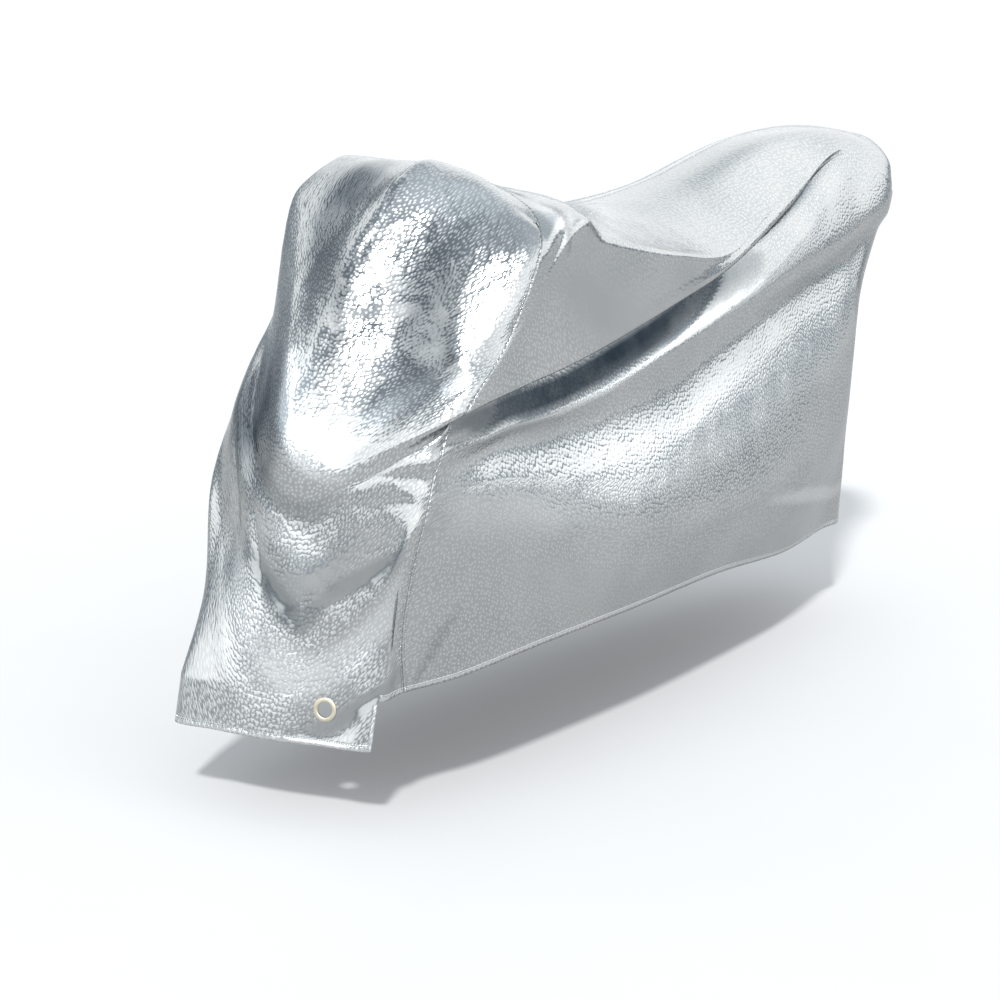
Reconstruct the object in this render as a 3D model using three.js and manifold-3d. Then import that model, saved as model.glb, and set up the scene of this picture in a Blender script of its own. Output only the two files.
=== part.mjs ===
// A fitted rain and sun cover, hanging in the shape and folds of use. It is silver film cloth in two
// pieces, sewn together on a seam that runs over the top and down both sides. The front piece has a
// longer flap with a lock eyelet. The cover is hollow and open below.
// Millimetres, +Z up, the front towards -Y, the left side towards +X.

import * as THREE from 'three';
import * as BufferGeometryUtils from 'three/addons/utils/BufferGeometryUtils.js';
import Module from 'manifold-3d';

const wasm = await Module();
wasm.setup();

// Cloth
const CLOTH_THICKNESS = 2;
const PIECE_GAP = 0.3;

// The frame's origin lies under the top of the cover, in its rear half. All heights in the tables
// below are above the ground, and lengths run back from a point just behind the flap.
const ORIGIN = { x: 0, y: 1600, z: 1147 };

// Around the cover, a station is the distance in mm from the middle of the front, along the left side.
// A negative station lies on the right side.
const SEAM_STATION = 330;
const FLAP_STATION = 215;

// Flap below the front piece
const FLAP_DROP = 88;
const FLAP_LEAN = 20;
const STRIP_ABOVE_HEM = 48;

// Eyelet
const EYELET_STATION = 105;
const EYELET_BELOW_HEM = 22;
const EYELET_HOLE_RADIUS = 14;
const EYELET_BARREL_WALL = 1.5;
const EYELET_FLANGE_RADIUS = 22.5;
const EYELET_FLANGE_THICKNESS = 1.2;
const EYELET_SIDES = 32;
const FLAT_RADIUS = 50;
const FLAT_FADE_RADIUS = 80;

// Mesh steps
const FRONT_COLUMNS = [
  { to: FLAP_STATION, count: 11 },
  { to: SEAM_STATION, count: 6 },
];
const SIDE_COLUMNS = 30;
const ROWS_ABOVE_EDGE = 7;
const ROWS_ABOVE_FOLD = 4;
const ROWS_BETWEEN_LINES = [2, 1, 1, 2, 2, 2, 1, 2];
const ROWS_IN_STRIP = 3;
const ROWS_IN_FLAP = 5;
const RIB_SAMPLES_PER_LEVEL = 20;
const NORMAL_STEP = 0.05;

const FRAME_OF_LEVELS = ['top', 'crown', 'chest', 'edge', 'lip', 'belly', 'skirt', 'hem'];
const EDGE_LEVEL = 3;
const LIP_LEVEL = 4;
const HEM_LEVEL = 7;

// One row for each rib of the left side, from the middle of the front to the middle of the rear.
// A rib runs down from the top line to the hem, and each column gives the point [x, y, z] at one level.
const RIBS = [
  { name: 'front middle', station: 0,
    top: [0, 300, 1158], crown: [0, 240, 1135], chest: [0, 112, 1010], edge: [0, 24, 850],
    lip: [0, -66, 680], belly: [0, -98, 500], skirt: [0, -122, 340], hem: [0, -136, 238] },
  { name: 'front quarter', station: 100,
    top: [0, 330, 1160], crown: [50, 280, 1138], chest: [115, 172, 1010], edge: [117, 48, 820],
    lip: [106, -48, 662], belly: [103, -82, 490], skirt: [104, -108, 340], hem: [104, -130, 238] },
  { name: 'front corner', station: 215,
    top: [0, 375, 1147], crown: [115, 325, 1131], chest: [235, 230, 1030], edge: [240, 80, 820],
    lip: [216, -18, 705], belly: [206, -52, 500], skirt: [202, -80, 340], hem: [200, -118, 238] },
  { name: 'seam', station: 330,
    top: [0, 430, 1121], crown: [165, 365, 1102], chest: [292, 288, 1045], edge: [303, 170, 870],
    lip: [292, 53, 752], belly: [258, -25, 570], skirt: [228, -70, 360], hem: [205, -54, 240] },
  { name: 'bar end', station: 480,
    top: [0, 505, 1095], crown: [170, 455, 1094], chest: [262, 412, 1079], edge: [294, 392, 1052],
    lip: [290, 227, 774], belly: [266, 140, 560], skirt: [256, 105, 360], hem: [236, 95, 244] },
  { name: 'behind the bar', station: 680,
    top: [0, 610, 1064], crown: [98, 605, 1060], chest: [185, 570, 1046], edge: [268, 517, 1018],
    lip: [280, 450, 800], belly: [270, 370, 560], skirt: [274, 345, 362], hem: [256, 335, 256] },
  { name: 'saddle', station: 1000,
    top: [0, 790, 1040], crown: [88, 790, 1032], chest: [172, 786, 1004], edge: [250, 785, 958],
    lip: [258, 758, 854], belly: [271, 690, 580], skirt: [284, 660, 368], hem: [264, 640, 260] },
  { name: 'seat', station: 1310,
    top: [0, 1050, 1069], crown: [78, 1050, 1059], chest: [140, 1052, 1012], edge: [210, 1062, 932],
    lip: [219, 1046, 904], belly: [245, 985, 590], skirt: [268, 975, 370], hem: [246, 970, 255] },
  { name: 'rear seat', station: 1650,
    top: [0, 1370, 1138], crown: [76, 1367, 1128], chest: [112, 1366, 1080], edge: [142, 1370, 1028],
    lip: [156, 1366, 990], belly: [222, 1325, 600], skirt: [240, 1310, 360], hem: [205, 1305, 222] },
  { name: 'rear hump', station: 1920,
    top: [0, 1660, 1152], crown: [60, 1660, 1145], chest: [85, 1660, 1134], edge: [103, 1660, 1119],
    lip: [118, 1658, 1103], belly: [205, 1570, 640], skirt: [185, 1565, 360], hem: [150, 1565, 212] },
  { name: 'rear corner', station: 2060,
    top: [0, 1860, 1126], crown: [50, 1880, 1118], chest: [85, 1890, 1096], edge: [115, 1890, 1064],
    lip: [140, 1868, 1012], belly: [160, 1640, 690], skirt: [150, 1662, 360], hem: [125, 1700, 206] },
  { name: 'rear middle', station: 2230,
    top: [0, 1930, 1118], crown: [0, 1968, 1103], chest: [0, 1990, 1076], edge: [0, 2003, 1040],
    lip: [0, 1995, 980], belly: [0, 1810, 680], skirt: [0, 1790, 360], hem: [0, 1800, 202] },
];

// How sharply a rib of the left side turns at its edge level, from 0 for round to 1 for a crease.
const EDGE_CREASES = [
  { rib: 'bar end', share: 0.8 },
  { rib: 'behind the bar', share: 1.0 },
  { rib: 'saddle', share: 1.0 },
  { rib: 'seat', share: 1.0 },
  { rib: 'rear seat', share: 0.4 },
];

// The right side is the left side's mirror image, a little narrower, with these points moved.
const RIGHT_WIDTH_SHARE = 0.98;
const RIGHT_CHANGES = [
  { rib: 'front quarter', level: 'chest', move: [-15, 10, 20] },
  { rib: 'front corner', level: 'crown', move: [-66, -5, 16] },
  { rib: 'front corner', level: 'chest', move: [-46, 34, 56] },
  { rib: 'front corner', level: 'edge', move: [15, 40, 30] },
  { rib: 'front corner', level: 'lip', move: [19, 12, 0] },
  { rib: 'front corner', level: 'belly', move: [12, 6, 0] },
  { rib: 'seam', level: 'crown', move: [-114, 8, 42] },
  { rib: 'seam', level: 'chest', move: [-26, 40, 50] },
  { rib: 'seam', level: 'edge', move: [20, 60, 40] },
  { rib: 'seam', level: 'lip', move: [22, 62, 0] },
  { rib: 'seam', level: 'belly', move: [5, 25, 0] },
  { rib: 'seam', level: 'skirt', move: [5, 60, 0] },
  { rib: 'seam', level: 'hem', move: [0, 40, 0] },
  { rib: 'bar end', level: 'crown', move: [-40, 0, 15] },
  { rib: 'bar end', level: 'chest', move: [-55, -4, -27] },
  { rib: 'bar end', level: 'edge', move: [0, -62, -112] },
  { rib: 'seat', level: 'crown', move: [12, 0, -6] },
  { rib: 'rear seat', level: 'crown', move: [12, 0, -10] },
];

// The front hangs askew: its right corner is further forward than its left one.
const FRONT_SKEW = 0.26;
const SKEW_BY_RIB = { from: 3, to: 5 };
const SKEW_BY_LEVEL = [0, 0, 0, 0.117, 0.233, 0.35, 0.675, 1];

// The main fold: the upper cloth hangs over the lower cloth along the lip level of the left side.
// Each row is a line of the fold: where it lies on flat cloth, and where it lies in the fold,
// as mm down from the lip and mm out from the side.
const LIP_FOLD = [
  { flat: -30, down: -30, out: 0 },
  { flat: -14, down: -14, out: 1 },
  { flat: -5, down: -5, out: 1 },
  { flat: 4, down: 1, out: -4 },
  { flat: 13, down: -3, out: -12 },
  { flat: 22, down: -9, out: -22 },
  { flat: 31, down: -14, out: -34 },
  { flat: 40, down: -8, out: -44 },
  { flat: 50, down: 6, out: -46 },
];
const LIP_FOLD_START = { from: 95, to: 480 };
const LIP_FOLD_END = { from: 1600, to: 1960 };
const LEAST_DROP_ABOVE_FOLD = 20;

// The lines of the left side below the main fold, from rib to rib, as [drop, out]: the mm of cloth
// below the top line, and how far the cloth stands out there. Between the lines it runs nearly
// straight, and each line is rounded over the length beside its name.
const SIDE_LINES = [
  { name: 'darkFoot', round: 8 },
  { name: 'crest', round: 5 },
  { name: 'greyTop', round: 8 },
  { name: 'greyFoot', round: 14 },
  { name: 'bandFoot', round: 25 },
  { name: 'dotsFoot', round: 25 },
  { name: 'duneFoot', round: 30 },
];
const SIDE_FOLDS = [
  { rib: 'front quarter',
    darkFoot: [720, 0], crest: [735, 0], greyTop: [745, 0], greyFoot: [770, 0],
    bandFoot: [810, 0], dotsFoot: [860, 0], duneFoot: [920, 0] },
  { rib: 'front corner',
    darkFoot: [748, -8], crest: [770, 0], greyTop: [778, 0], greyFoot: [800, -2],
    bandFoot: [850, 0], dotsFoot: [900, 0], duneFoot: [960, 0] },
  { rib: 'seam',
    darkFoot: [785, -22], crest: [800, -14], greyTop: [806, -14], greyFoot: [830, -16],
    bandFoot: [870, -2], dotsFoot: [900, 0], duneFoot: [960, 0] },
  { rib: 'bar end',
    darkFoot: [727, -26], crest: [736, -21], greyTop: [740, -22], greyFoot: [768, -34],
    bandFoot: [826, -8], dotsFoot: [880, 2], duneFoot: [930, 0] },
  { rib: 'behind the bar',
    darkFoot: [622, -26], crest: [631, -22], greyTop: [634, -23], greyFoot: [672, -38],
    bandFoot: [758, -6], dotsFoot: [830, 6], duneFoot: [880, 0] },
  { rib: 'saddle',
    darkFoot: [490, -31], crest: [501, -26], greyTop: [504, -26], greyFoot: [562, -40],
    bandFoot: [700, 0], dotsFoot: [800, 10], duneFoot: [860, 0] },
  { rib: 'seat',
    darkFoot: [405, -38], crest: [440, -24], greyTop: [444, -24], greyFoot: [500, -36],
    bandFoot: [585, -8], dotsFoot: [809, 10], duneFoot: [840, 0] },
  { rib: 'rear seat',
    darkFoot: [270, -10], crest: [365, 8], greyTop: [403, 10], greyFoot: [452, -6],
    bandFoot: [512, 4], dotsFoot: [780, 14], duneFoot: [870, 0] },
  { rib: 'rear hump',
    darkFoot: [150, -4], crest: [235, 14], greyTop: [365, 18], greyFoot: [411, 4],
    bandFoot: [476, 10], dotsFoot: [757, 8], duneFoot: [900, 0] },
  { rib: 'rear corner',
    darkFoot: [215, 0], crest: [240, 4], greyTop: [325, 12], greyFoot: [365, 0],
    bandFoot: [440, 6], dotsFoot: [700, 0], duneFoot: [900, 0] },
  { rib: 'rear middle',
    darkFoot: [190, 0], crest: [230, 0], greyTop: [300, 0], greyFoot: [350, 0],
    bandFoot: [430, 0], dotsFoot: [690, 0], duneFoot: [880, 0] },
];
const FOLD_FOOT = 6;

// The other main folds. A path runs through [station, drop], where drop is mm of cloth below the
// top line. height is mm out (a ridge) or in (a trough), and it fades over the widths above and
// below the path, with a rounded crest.
const FOLDS = [
  { name: 'front hollow', path: [[22, 190], [58, 290], [85, 390], [130, 470], [200, 570]],
    height: -26, above: 90, below: 50, round: 10 },
  { name: 'grip crest', path: [[150, 240], [178, 330], [178, 420], [215, 540], [290, 632]],
    height: 16, above: 45, below: 70, round: 8 },
  { name: 'bulge edge', path: [[-130, 380], [-75, 470], [-20, 540], [20, 600], [60, 650], [118, 705]],
    height: 16, above: 60, below: 90, round: 8 },
  { name: 'under the bulge', path: [[-230, 640], [-100, 700], [60, 750], [118, 735]],
    height: -13, above: 60, below: 60, round: 24 },
  { name: 'skirt facet', path: [[-75, 790], [-40, 850], [10, 900], [52, 960]],
    height: -4, above: 60, below: 30, round: 6 },
  { name: 'second skirt facet', path: [[70, 912], [155, 925], [192, 930], [260, 945]],
    height: -4, above: 50, below: 25, round: 6 },
  { name: 'seam side crease', path: [[330, 905], [230, 960], [120, 985]],
    height: 8, above: 30, below: 60, round: 8 },
  { name: 'right skirt trough', path: [[-180, 800], [-150, 900], [-190, 1050]],
    height: -10, above: 40, below: 40, round: 14 },
  { name: 'right upper trough', path: [[-350, 500], [-800, 520], [-1300, 470], [-1800, 380]],
    height: -14, above: 60, below: 60, round: 25 },
  { name: 'right middle band', path: [[-330, 700], [-900, 650], [-1500, 600]],
    height: 14, above: 80, below: 110, round: 30 },
  { name: 'right lower trough', path: [[-500, 950], [-1100, 760], [-1700, 640]],
    height: -10, above: 60, below: 60, round: 25 },
];
const FOLD_STEPS_PER_SPAN = 6;
const FOLD_FADE_BELOW_TOP = 60;

const silver = { color: 0xb4b9bc, roughness: 0.32, metalness: 0.85 };
const brass = { color: 0xb9a98a, roughness: 0.35, metalness: 0.9 };

const LAST_STATION = RIBS[RIBS.length - 1].station;
const RIB_COUNT = 2 * RIBS.length - 2;

function clamp(value, low, high) {
  return Math.min(Math.max(value, low), high);
}

function smoothStep(from, to, value) {
  const t = clamp((value - from) / (to - from), 0, 1);
  return t * t * (3 - 2 * t);
}

function mix(a, b, share) {
  return a + (b - a) * share;
}

// Weights of four neighbouring points on a curve that passes through all its points.
function curveWeights(t) {
  const t2 = t * t;
  const t3 = t2 * t;
  return [(2 * t2 - t3 - t) / 2, (3 * t3 - 5 * t2 + 2) / 2, (4 * t2 - 3 * t3 + t) / 2, (t3 - t2) / 2];
}

// All ribs, round the cover: the left side, then the right side back to the front.
function makeRibGrid() {
  const toPoints = (rib) => FRAME_OF_LEVELS.map((level) => new THREE.Vector3(...rib[level]));
  const left = RIBS.map(toPoints);
  const right = RIBS.slice(1, -1).map((rib) => {
    const points = toPoints(rib);
    points.forEach((point) => {
      point.x *= -RIGHT_WIDTH_SHARE;
    });
    RIGHT_CHANGES.filter((change) => change.rib === rib.name).forEach((change) => {
      points[FRAME_OF_LEVELS.indexOf(change.level)].add(new THREE.Vector3(...change.move));
    });
    return points;
  });
  const grid = [...left, ...right.reverse()];
  grid.forEach((points, index) => {
    const ribsFromFront = Math.min(index, grid.length - index);
    const share = 1 - clamp((ribsFromFront - SKEW_BY_RIB.from) / (SKEW_BY_RIB.to - SKEW_BY_RIB.from), 0, 1);
    points.forEach((point, level) => {
      point.y += FRONT_SKEW * point.x * share * SKEW_BY_LEVEL[level];
    });
  });
  // A rib leaves the top line level, and runs on straight past the hem.
  return grid.map((points, index) => {
    const top = points[0];
    const next = points[1];
    const before = new THREE.Vector3(2 * top.x - next.x, 2 * top.y - next.y, next.z);
    const after = points[HEM_LEVEL].clone().multiplyScalar(2).sub(points[HEM_LEVEL - 1]);
    const run = [before, ...points, after];
    const crease = EDGE_CREASES.find(({ rib }) => rib === RIBS[index]?.name)?.share ?? 0;
    return points.map((point, level) => {
      const slope = slopeThrough(run[level], point, run[level + 2]);
      const sharp = level === EDGE_LEVEL ? crease : 0;
      const coming = slope.clone().lerp(point.clone().sub(run[level]), sharp);
      const going = slope.clone().lerp(run[level + 2].clone().sub(point), sharp);
      return { point, coming, going };
    });
  });
}

// The direction of a rib at one of its points. A short span beside a long one keeps it from looping.
function slopeThrough(before, point, after) {
  const stepIn = point.clone().sub(before);
  const stepOut = after.clone().sub(point);
  const lengthIn = stepIn.length();
  const lengthOut = stepOut.length();
  const sum = lengthIn + lengthOut;
  stepIn.multiplyScalar(2 * lengthOut * lengthOut / (sum * sum));
  return stepIn.addScaledVector(stepOut, 2 * lengthIn * lengthIn / (sum * sum));
}

const ribGrid = makeRibGrid();

// The base surface at a rib coordinate and a level coordinate.
function basePoint(rib, level) {
  const ribIndex = Math.floor(rib);
  const ribWeights = curveWeights(rib - ribIndex);
  const levelIndex = clamp(Math.floor(level), 0, HEM_LEVEL - 1);
  const t = clamp(level, 0, HEM_LEVEL) - levelIndex;
  const t2 = t * t;
  const t3 = t2 * t;
  const point = new THREE.Vector3();
  ribWeights.forEach((weight, i) => {
    const ribPoints = ribGrid[(ribIndex + i - 1 + RIB_COUNT) % RIB_COUNT];
    const upper = ribPoints[levelIndex];
    const lower = ribPoints[levelIndex + 1];
    point.addScaledVector(upper.point, weight * (2 * t3 - 3 * t2 + 1));
    point.addScaledVector(upper.going, weight * (t3 - 2 * t2 + t));
    point.addScaledVector(lower.point, weight * (3 * t2 - 2 * t3));
    point.addScaledVector(lower.coming, weight * (t3 - t2));
  });
  return point;
}

function baseNormal(rib, level) {
  const around = basePoint(rib + NORMAL_STEP, level).sub(basePoint(rib - NORMAL_STEP, level));
  const down = basePoint(rib, level + NORMAL_STEP).sub(basePoint(rib, level - NORMAL_STEP));
  return down.cross(around).normalize();
}

// Rib coordinate of a station, from the front over the left side, and on over the right side.
function ribAtStation(station) {
  const distance = Math.abs(station);
  let index = 0;
  while (index < RIBS.length - 2 && distance > RIBS[index + 1].station) {
    index += 1;
  }
  const span = RIBS[index + 1].station - RIBS[index].station;
  const rib = index + (distance - RIBS[index].station) / span;
  return station >= 0 ? rib : RIB_COUNT - rib;
}

// Cloth distance from the top line to each level of a rib.
function levelDrops(rib) {
  const drops = [0];
  let last = basePoint(rib, 0);
  for (let level = 0; level < HEM_LEVEL; level += 1) {
    let length = drops[level];
    for (let step = 1; step <= RIB_SAMPLES_PER_LEVEL; step += 1) {
      const next = basePoint(rib, level + step / RIB_SAMPLES_PER_LEVEL);
      length += next.distanceTo(last);
      last = next;
    }
    drops.push(length);
  }
  return drops;
}

function levelAtDrop(drops, drop) {
  let level = 0;
  while (level < HEM_LEVEL - 1 && drop > drops[level + 1]) {
    level += 1;
  }
  return level + (drop - drops[level]) / (drops[level + 1] - drops[level]);
}

// A fold's path as a fine line in station and drop.
function foldLine(path) {
  const first = path[0];
  const second = path[1];
  const last = path[path.length - 1];
  const beforeLast = path[path.length - 2];
  const points = [
    [2 * first[0] - second[0], 2 * first[1] - second[1]],
    ...path,
    [2 * last[0] - beforeLast[0], 2 * last[1] - beforeLast[1]],
  ];
  const line = [];
  for (let span = 0; span < path.length - 1; span += 1) {
    for (let step = 0; step < FOLD_STEPS_PER_SPAN; step += 1) {
      const weights = curveWeights(step / FOLD_STEPS_PER_SPAN);
      line.push([0, 1].map((axis) => weights.reduce((sum, w, k) => sum + w * points[span + k][axis], 0)));
    }
  }
  line.push(last);
  return line;
}

const foldLines = FOLDS.map((fold) => foldLine(fold.path));

function foldHeight(fold, line, station, drop) {
  let nearest = Infinity;
  let below = false;
  let along = 0;
  let length = 0;
  for (let i = 0; i < line.length - 1; i += 1) {
    const dx = line[i + 1][0] - line[i][0];
    const dy = line[i + 1][1] - line[i][1];
    const span = Math.hypot(dx, dy);
    const t = clamp(((station - line[i][0]) * dx + (drop - line[i][1]) * dy) / (span * span), 0, 1);
    const ex = station - line[i][0] - t * dx;
    const ey = drop - line[i][1] - t * dy;
    const distance = Math.hypot(ex, ey);
    if (distance < nearest) {
      nearest = distance;
      below = dx * ey - dy * ex > 0;
      along = length + t * span;
    }
    length += span;
  }
  const endFade = Math.sqrt(Math.max(Math.sin(Math.PI * (0.05 + 0.9 * (along / length))), 0));
  const width = below ? fold.below : fold.above;
  return fold.height * endFade * Math.exp((fold.round - Math.hypot(nearest, fold.round)) / width);
}

function allFolds(station, drop) {
  const sum = FOLDS.reduce((total, fold, i) => total + foldHeight(fold, foldLines[i], station, drop), 0);
  return sum * smoothStep(0, FOLD_FADE_BELOW_TOP, drop);
}

function lipAmount(station) {
  const start = smoothStep(LIP_FOLD_START.from, LIP_FOLD_START.to, station);
  return start * (1 - smoothStep(LIP_FOLD_END.from, LIP_FOLD_END.to, station));
}

// The side lines at a station as [drop, out], with the foot of the main fold and the hem at the ends.
function sideLines(station, drops) {
  const first = RIBS.findIndex((rib) => rib.name === SIDE_FOLDS[0].rib);
  const last = SIDE_FOLDS.length - 1;
  const place = clamp(ribAtStation(Math.abs(station)) - first, 0, last);
  const start = Math.min(Math.floor(place), last - 1);
  const weights = curveWeights(place - start);
  const folds = weights.map((_, k) => SIDE_FOLDS[clamp(start + k - 1, 0, last)]);
  const onLeft = station > RIBS[first].station ? 1 : 0;
  const lines = SIDE_LINES.map(({ name }) => {
    const at = weights.reduce((sum, weight, k) => sum + weight * folds[k][name][0], 0);
    const out = weights.reduce((sum, weight, k) => sum + weight * folds[k][name][1], 0);
    return { drop: at, out: out * onLeft };
  });
  const footOut = LIP_FOLD[LIP_FOLD.length - 1].out * lipAmount(station);
  const foot = { drop: drops[LIP_LEVEL] + FOLD_FOOT, out: footOut };
  return [foot, ...lines, { drop: drops[HEM_LEVEL], out: 0 }];
}

// How far the left side stands out at a drop below the main fold.
function sideOut(lines, drop) {
  const leans = lines.slice(1).map((line, k) => {
    return (line.out - lines[k].out) / Math.max(line.drop - lines[k].drop, 1);
  });
  let height = lines[0].out + leans[0] * (drop - lines[0].drop);
  SIDE_LINES.forEach(({ round }, k) => {
    const past = drop - lines[k + 1].drop;
    height += (leans[k + 1] - leans[k]) * (past + Math.hypot(past, round)) / 2;
  });
  return height;
}

// The drop and the outward shift of each row of one column, from the top line to the hem.
function columnRows(station, drops) {
  const lipDrop = drops[LIP_LEVEL];
  const hemDrop = drops[HEM_LEVEL];
  const amount = lipAmount(station);
  const lines = sideLines(station, drops);
  const foldTop = LIP_FOLD[0].flat;
  const start = Math.max(lipDrop + foldTop, LEAST_DROP_ABOVE_FOLD);
  const edge = Math.min(drops[EDGE_LEVEL], start - 2);
  const rows = [];
  for (let i = 0; i < ROWS_ABOVE_EDGE; i += 1) {
    rows.push({ drop: edge * i / ROWS_ABOVE_EDGE, out: 0 });
  }
  for (let i = 0; i < ROWS_ABOVE_FOLD; i += 1) {
    rows.push({ drop: mix(edge, start, i / ROWS_ABOVE_FOLD), out: 0 });
  }
  LIP_FOLD.forEach((line) => {
    const down = mix(line.flat, line.down, amount);
    const squeeze = down < 0 ? (lipDrop - start) / -foldTop : 1;
    rows.push({ drop: lipDrop + down * squeeze, out: line.out * amount });
  });
  const stripTop = hemDrop - STRIP_ABOVE_HEM;
  let from = rows[rows.length - 1].drop;
  ROWS_BETWEEN_LINES.forEach((count, k) => {
    const to = k < SIDE_LINES.length ? Math.max(lines[k + 1].drop, from + 1) : stripTop;
    for (let i = 1; i <= count; i += 1) {
      const drop = mix(from, to, i / count);
      rows.push({ drop, out: sideOut(lines, drop) });
    }
    from = to;
  });
  for (let i = 1; i <= ROWS_IN_STRIP; i += 1) {
    const drop = mix(stripTop, hemDrop, i / ROWS_IN_STRIP);
    rows.push({ drop, out: sideOut(lines, drop) });
  }
  const hemOut = rows[rows.length - 1].out;
  for (let i = 1; i <= ROWS_IN_FLAP; i += 1) {
    rows.push({ drop: hemDrop + FLAP_DROP * i / ROWS_IN_FLAP, out: hemOut });
  }
  return rows;
}

const ROWS_BELOW_LIP = ROWS_BETWEEN_LINES.reduce((sum, count) => sum + count, 0);
const STRIP_TOP_ROW = ROWS_ABOVE_EDGE + ROWS_ABOVE_FOLD + LIP_FOLD.length - 1 + ROWS_BELOW_LIP;
const HEM_ROW = STRIP_TOP_ROW + ROWS_IN_STRIP;
const FLAP_ROW = HEM_ROW + ROWS_IN_FLAP;

// The point of the cloth's middle layer, without the flat place round the eyelet.
function drapedPoint(station, rib, drops, row) {
  const hemDrop = drops[HEM_LEVEL];
  const level = levelAtDrop(drops, Math.min(row.drop, hemDrop));
  const height = row.out + allFolds(station, row.drop);
  const point = basePoint(rib, level).addScaledVector(baseNormal(rib, level), height);
  const belowHem = Math.max(row.drop - hemDrop, 0);
  point.z -= belowHem;
  point.y -= FLAP_LEAN * belowHem / FLAP_DROP;
  return point;
}

// Where an eyelet sits, and which way it faces.
function eyeletPlace(station) {
  const rib = ribAtStation(station);
  const drops = levelDrops(rib);
  const at = (s, drop) => {
    const r = ribAtStation(s);
    const d = levelDrops(r);
    return drapedPoint(s, r, d, { drop: d[HEM_LEVEL] + drop, out: 0 });
  };
  const centre = drapedPoint(station, rib, drops, { drop: drops[HEM_LEVEL] + EYELET_BELOW_HEM, out: 0 });
  const reach = FLAT_RADIUS * 0.7;
  const across = at(station + reach, EYELET_BELOW_HEM).sub(at(station - reach, EYELET_BELOW_HEM));
  const down = at(station, EYELET_BELOW_HEM + reach).sub(at(station, EYELET_BELOW_HEM - reach));
  return { centre, normal: down.cross(across).normalize() };
}

const eyelet = eyeletPlace(EYELET_STATION);

// The cloth lies flat round the eyelet.
function flattenAtEyelet(point) {
  const offset = point.clone().sub(eyelet.centre);
  const height = offset.dot(eyelet.normal);
  const distance = offset.addScaledVector(eyelet.normal, -height).length();
  const share = 1 - smoothStep(FLAT_RADIUS, FLAT_FADE_RADIUS, distance);
  return point.addScaledVector(eyelet.normal, -height * share);
}

function makeStations() {
  const left = [0];
  let from = 0;
  FRONT_COLUMNS.forEach(({ to, count }) => {
    for (let i = 1; i <= count; i += 1) {
      left.push(mix(from, to, i / count));
    }
    from = to;
  });
  for (let i = 1; i <= SIDE_COLUMNS; i += 1) {
    left.push(mix(SEAM_STATION, LAST_STATION, i / SIDE_COLUMNS));
  }
  const right = left.slice(1, -1).map((station) => -station).reverse();
  return [...left, ...right];
}

const stations = makeStations();

// The cloth's middle layer, one column of points at each station.
const columns = stations.map((station) => {
  const rib = ribAtStation(station);
  const drops = levelDrops(rib);
  return columnRows(station, drops).map((row) => flattenAtEyelet(drapedPoint(station, rib, drops, row)));
});

// Both sides share the points of the top line.
function vertexIndex(column, row) {
  const mirrored = (stations.length - column) % stations.length;
  const shared = row === 0 ? Math.min(column, mirrored) : column;
  return shared * (FLAP_ROW + 1) + row;
}

function isStripCell(station, row) {
  return Math.abs(station) < FLAP_STATION && row >= STRIP_TOP_ROW;
}

// Every cell of the grid, with the piece it belongs to.
function makeCells() {
  const cells = [];
  for (let column = 0; column < stations.length; column += 1) {
    const next = (column + 1) % stations.length;
    const nextStation = next === 0 ? 0 : stations[next];
    const atRear = Math.abs(stations[column]) === LAST_STATION;
    const middle = atRear ? -LAST_STATION : (stations[column] + nextStation) / 2;
    for (let row = 0; row < FLAP_ROW; row += 1) {
      const strip = isStripCell(middle, row);
      if (row < HEM_ROW || strip) {
        const front = Math.abs(middle) < SEAM_STATION;
        const piece = strip ? 'front_hem_strip' : (front ? 'front_panel' : 'rear_panel');
        const corners = [[column, row], [column, row + 1], [next, row + 1], [next, row]];
        cells.push({ piece, corners: corners.map(([c, r]) => vertexIndex(c, r)) });
      }
    }
  }
  return cells;
}

const cells = makeCells();
const pointOf = (index) => columns[Math.floor(index / (FLAP_ROW + 1))][index % (FLAP_ROW + 1)];

function trianglesOf(corners) {
  return [[corners[0], corners[1], corners[2]], [corners[0], corners[2], corners[3]]];
}

// Outward directions of the points, from all the cells that meet there.
function makeNormals() {
  const normals = new Map();
  cells.flatMap((cell) => trianglesOf(cell.corners)).forEach((triangle) => {
    const [a, b, c] = triangle.map(pointOf);
    const direction = b.clone().sub(a).cross(c.clone().sub(a));
    triangle.forEach((index) => {
      const sum = normals.get(index) ?? new THREE.Vector3();
      normals.set(index, sum.add(direction));
    });
  });
  normals.forEach((normal) => normal.normalize());
  return normals;
}

const normals = makeNormals();

// The edges of a piece, each named by its two points in the order of the faces.
function borderEdges(triangles) {
  const edges = new Map();
  triangles.forEach((triangle) => {
    triangle.forEach((from, i) => {
      const to = triangle[(i + 1) % 3];
      edges.set(`${from} ${to}`, [from, to]);
    });
  });
  return [...edges.values()].filter(([from, to]) => !edges.has(`${to} ${from}`));
}

// How far each border point of a piece is drawn in, so that neighbouring pieces keep their gap.
function borderShifts(borders) {
  const inwards = new Map();
  borders.forEach(([from, to]) => {
    const along = pointOf(to).clone().sub(pointOf(from)).normalize();
    [from, to].forEach((index) => {
      const inward = normals.get(index).clone().cross(along).normalize();
      inwards.set(index, [...(inwards.get(index) ?? []), inward]);
    });
  });
  const shifts = new Map();
  inwards.forEach(([first, second], index) => {
    const share = (PIECE_GAP / 2) / (1 + first.dot(second));
    shifts.set(index, first.clone().add(second).multiplyScalar(share));
  });
  return shifts;
}

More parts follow.
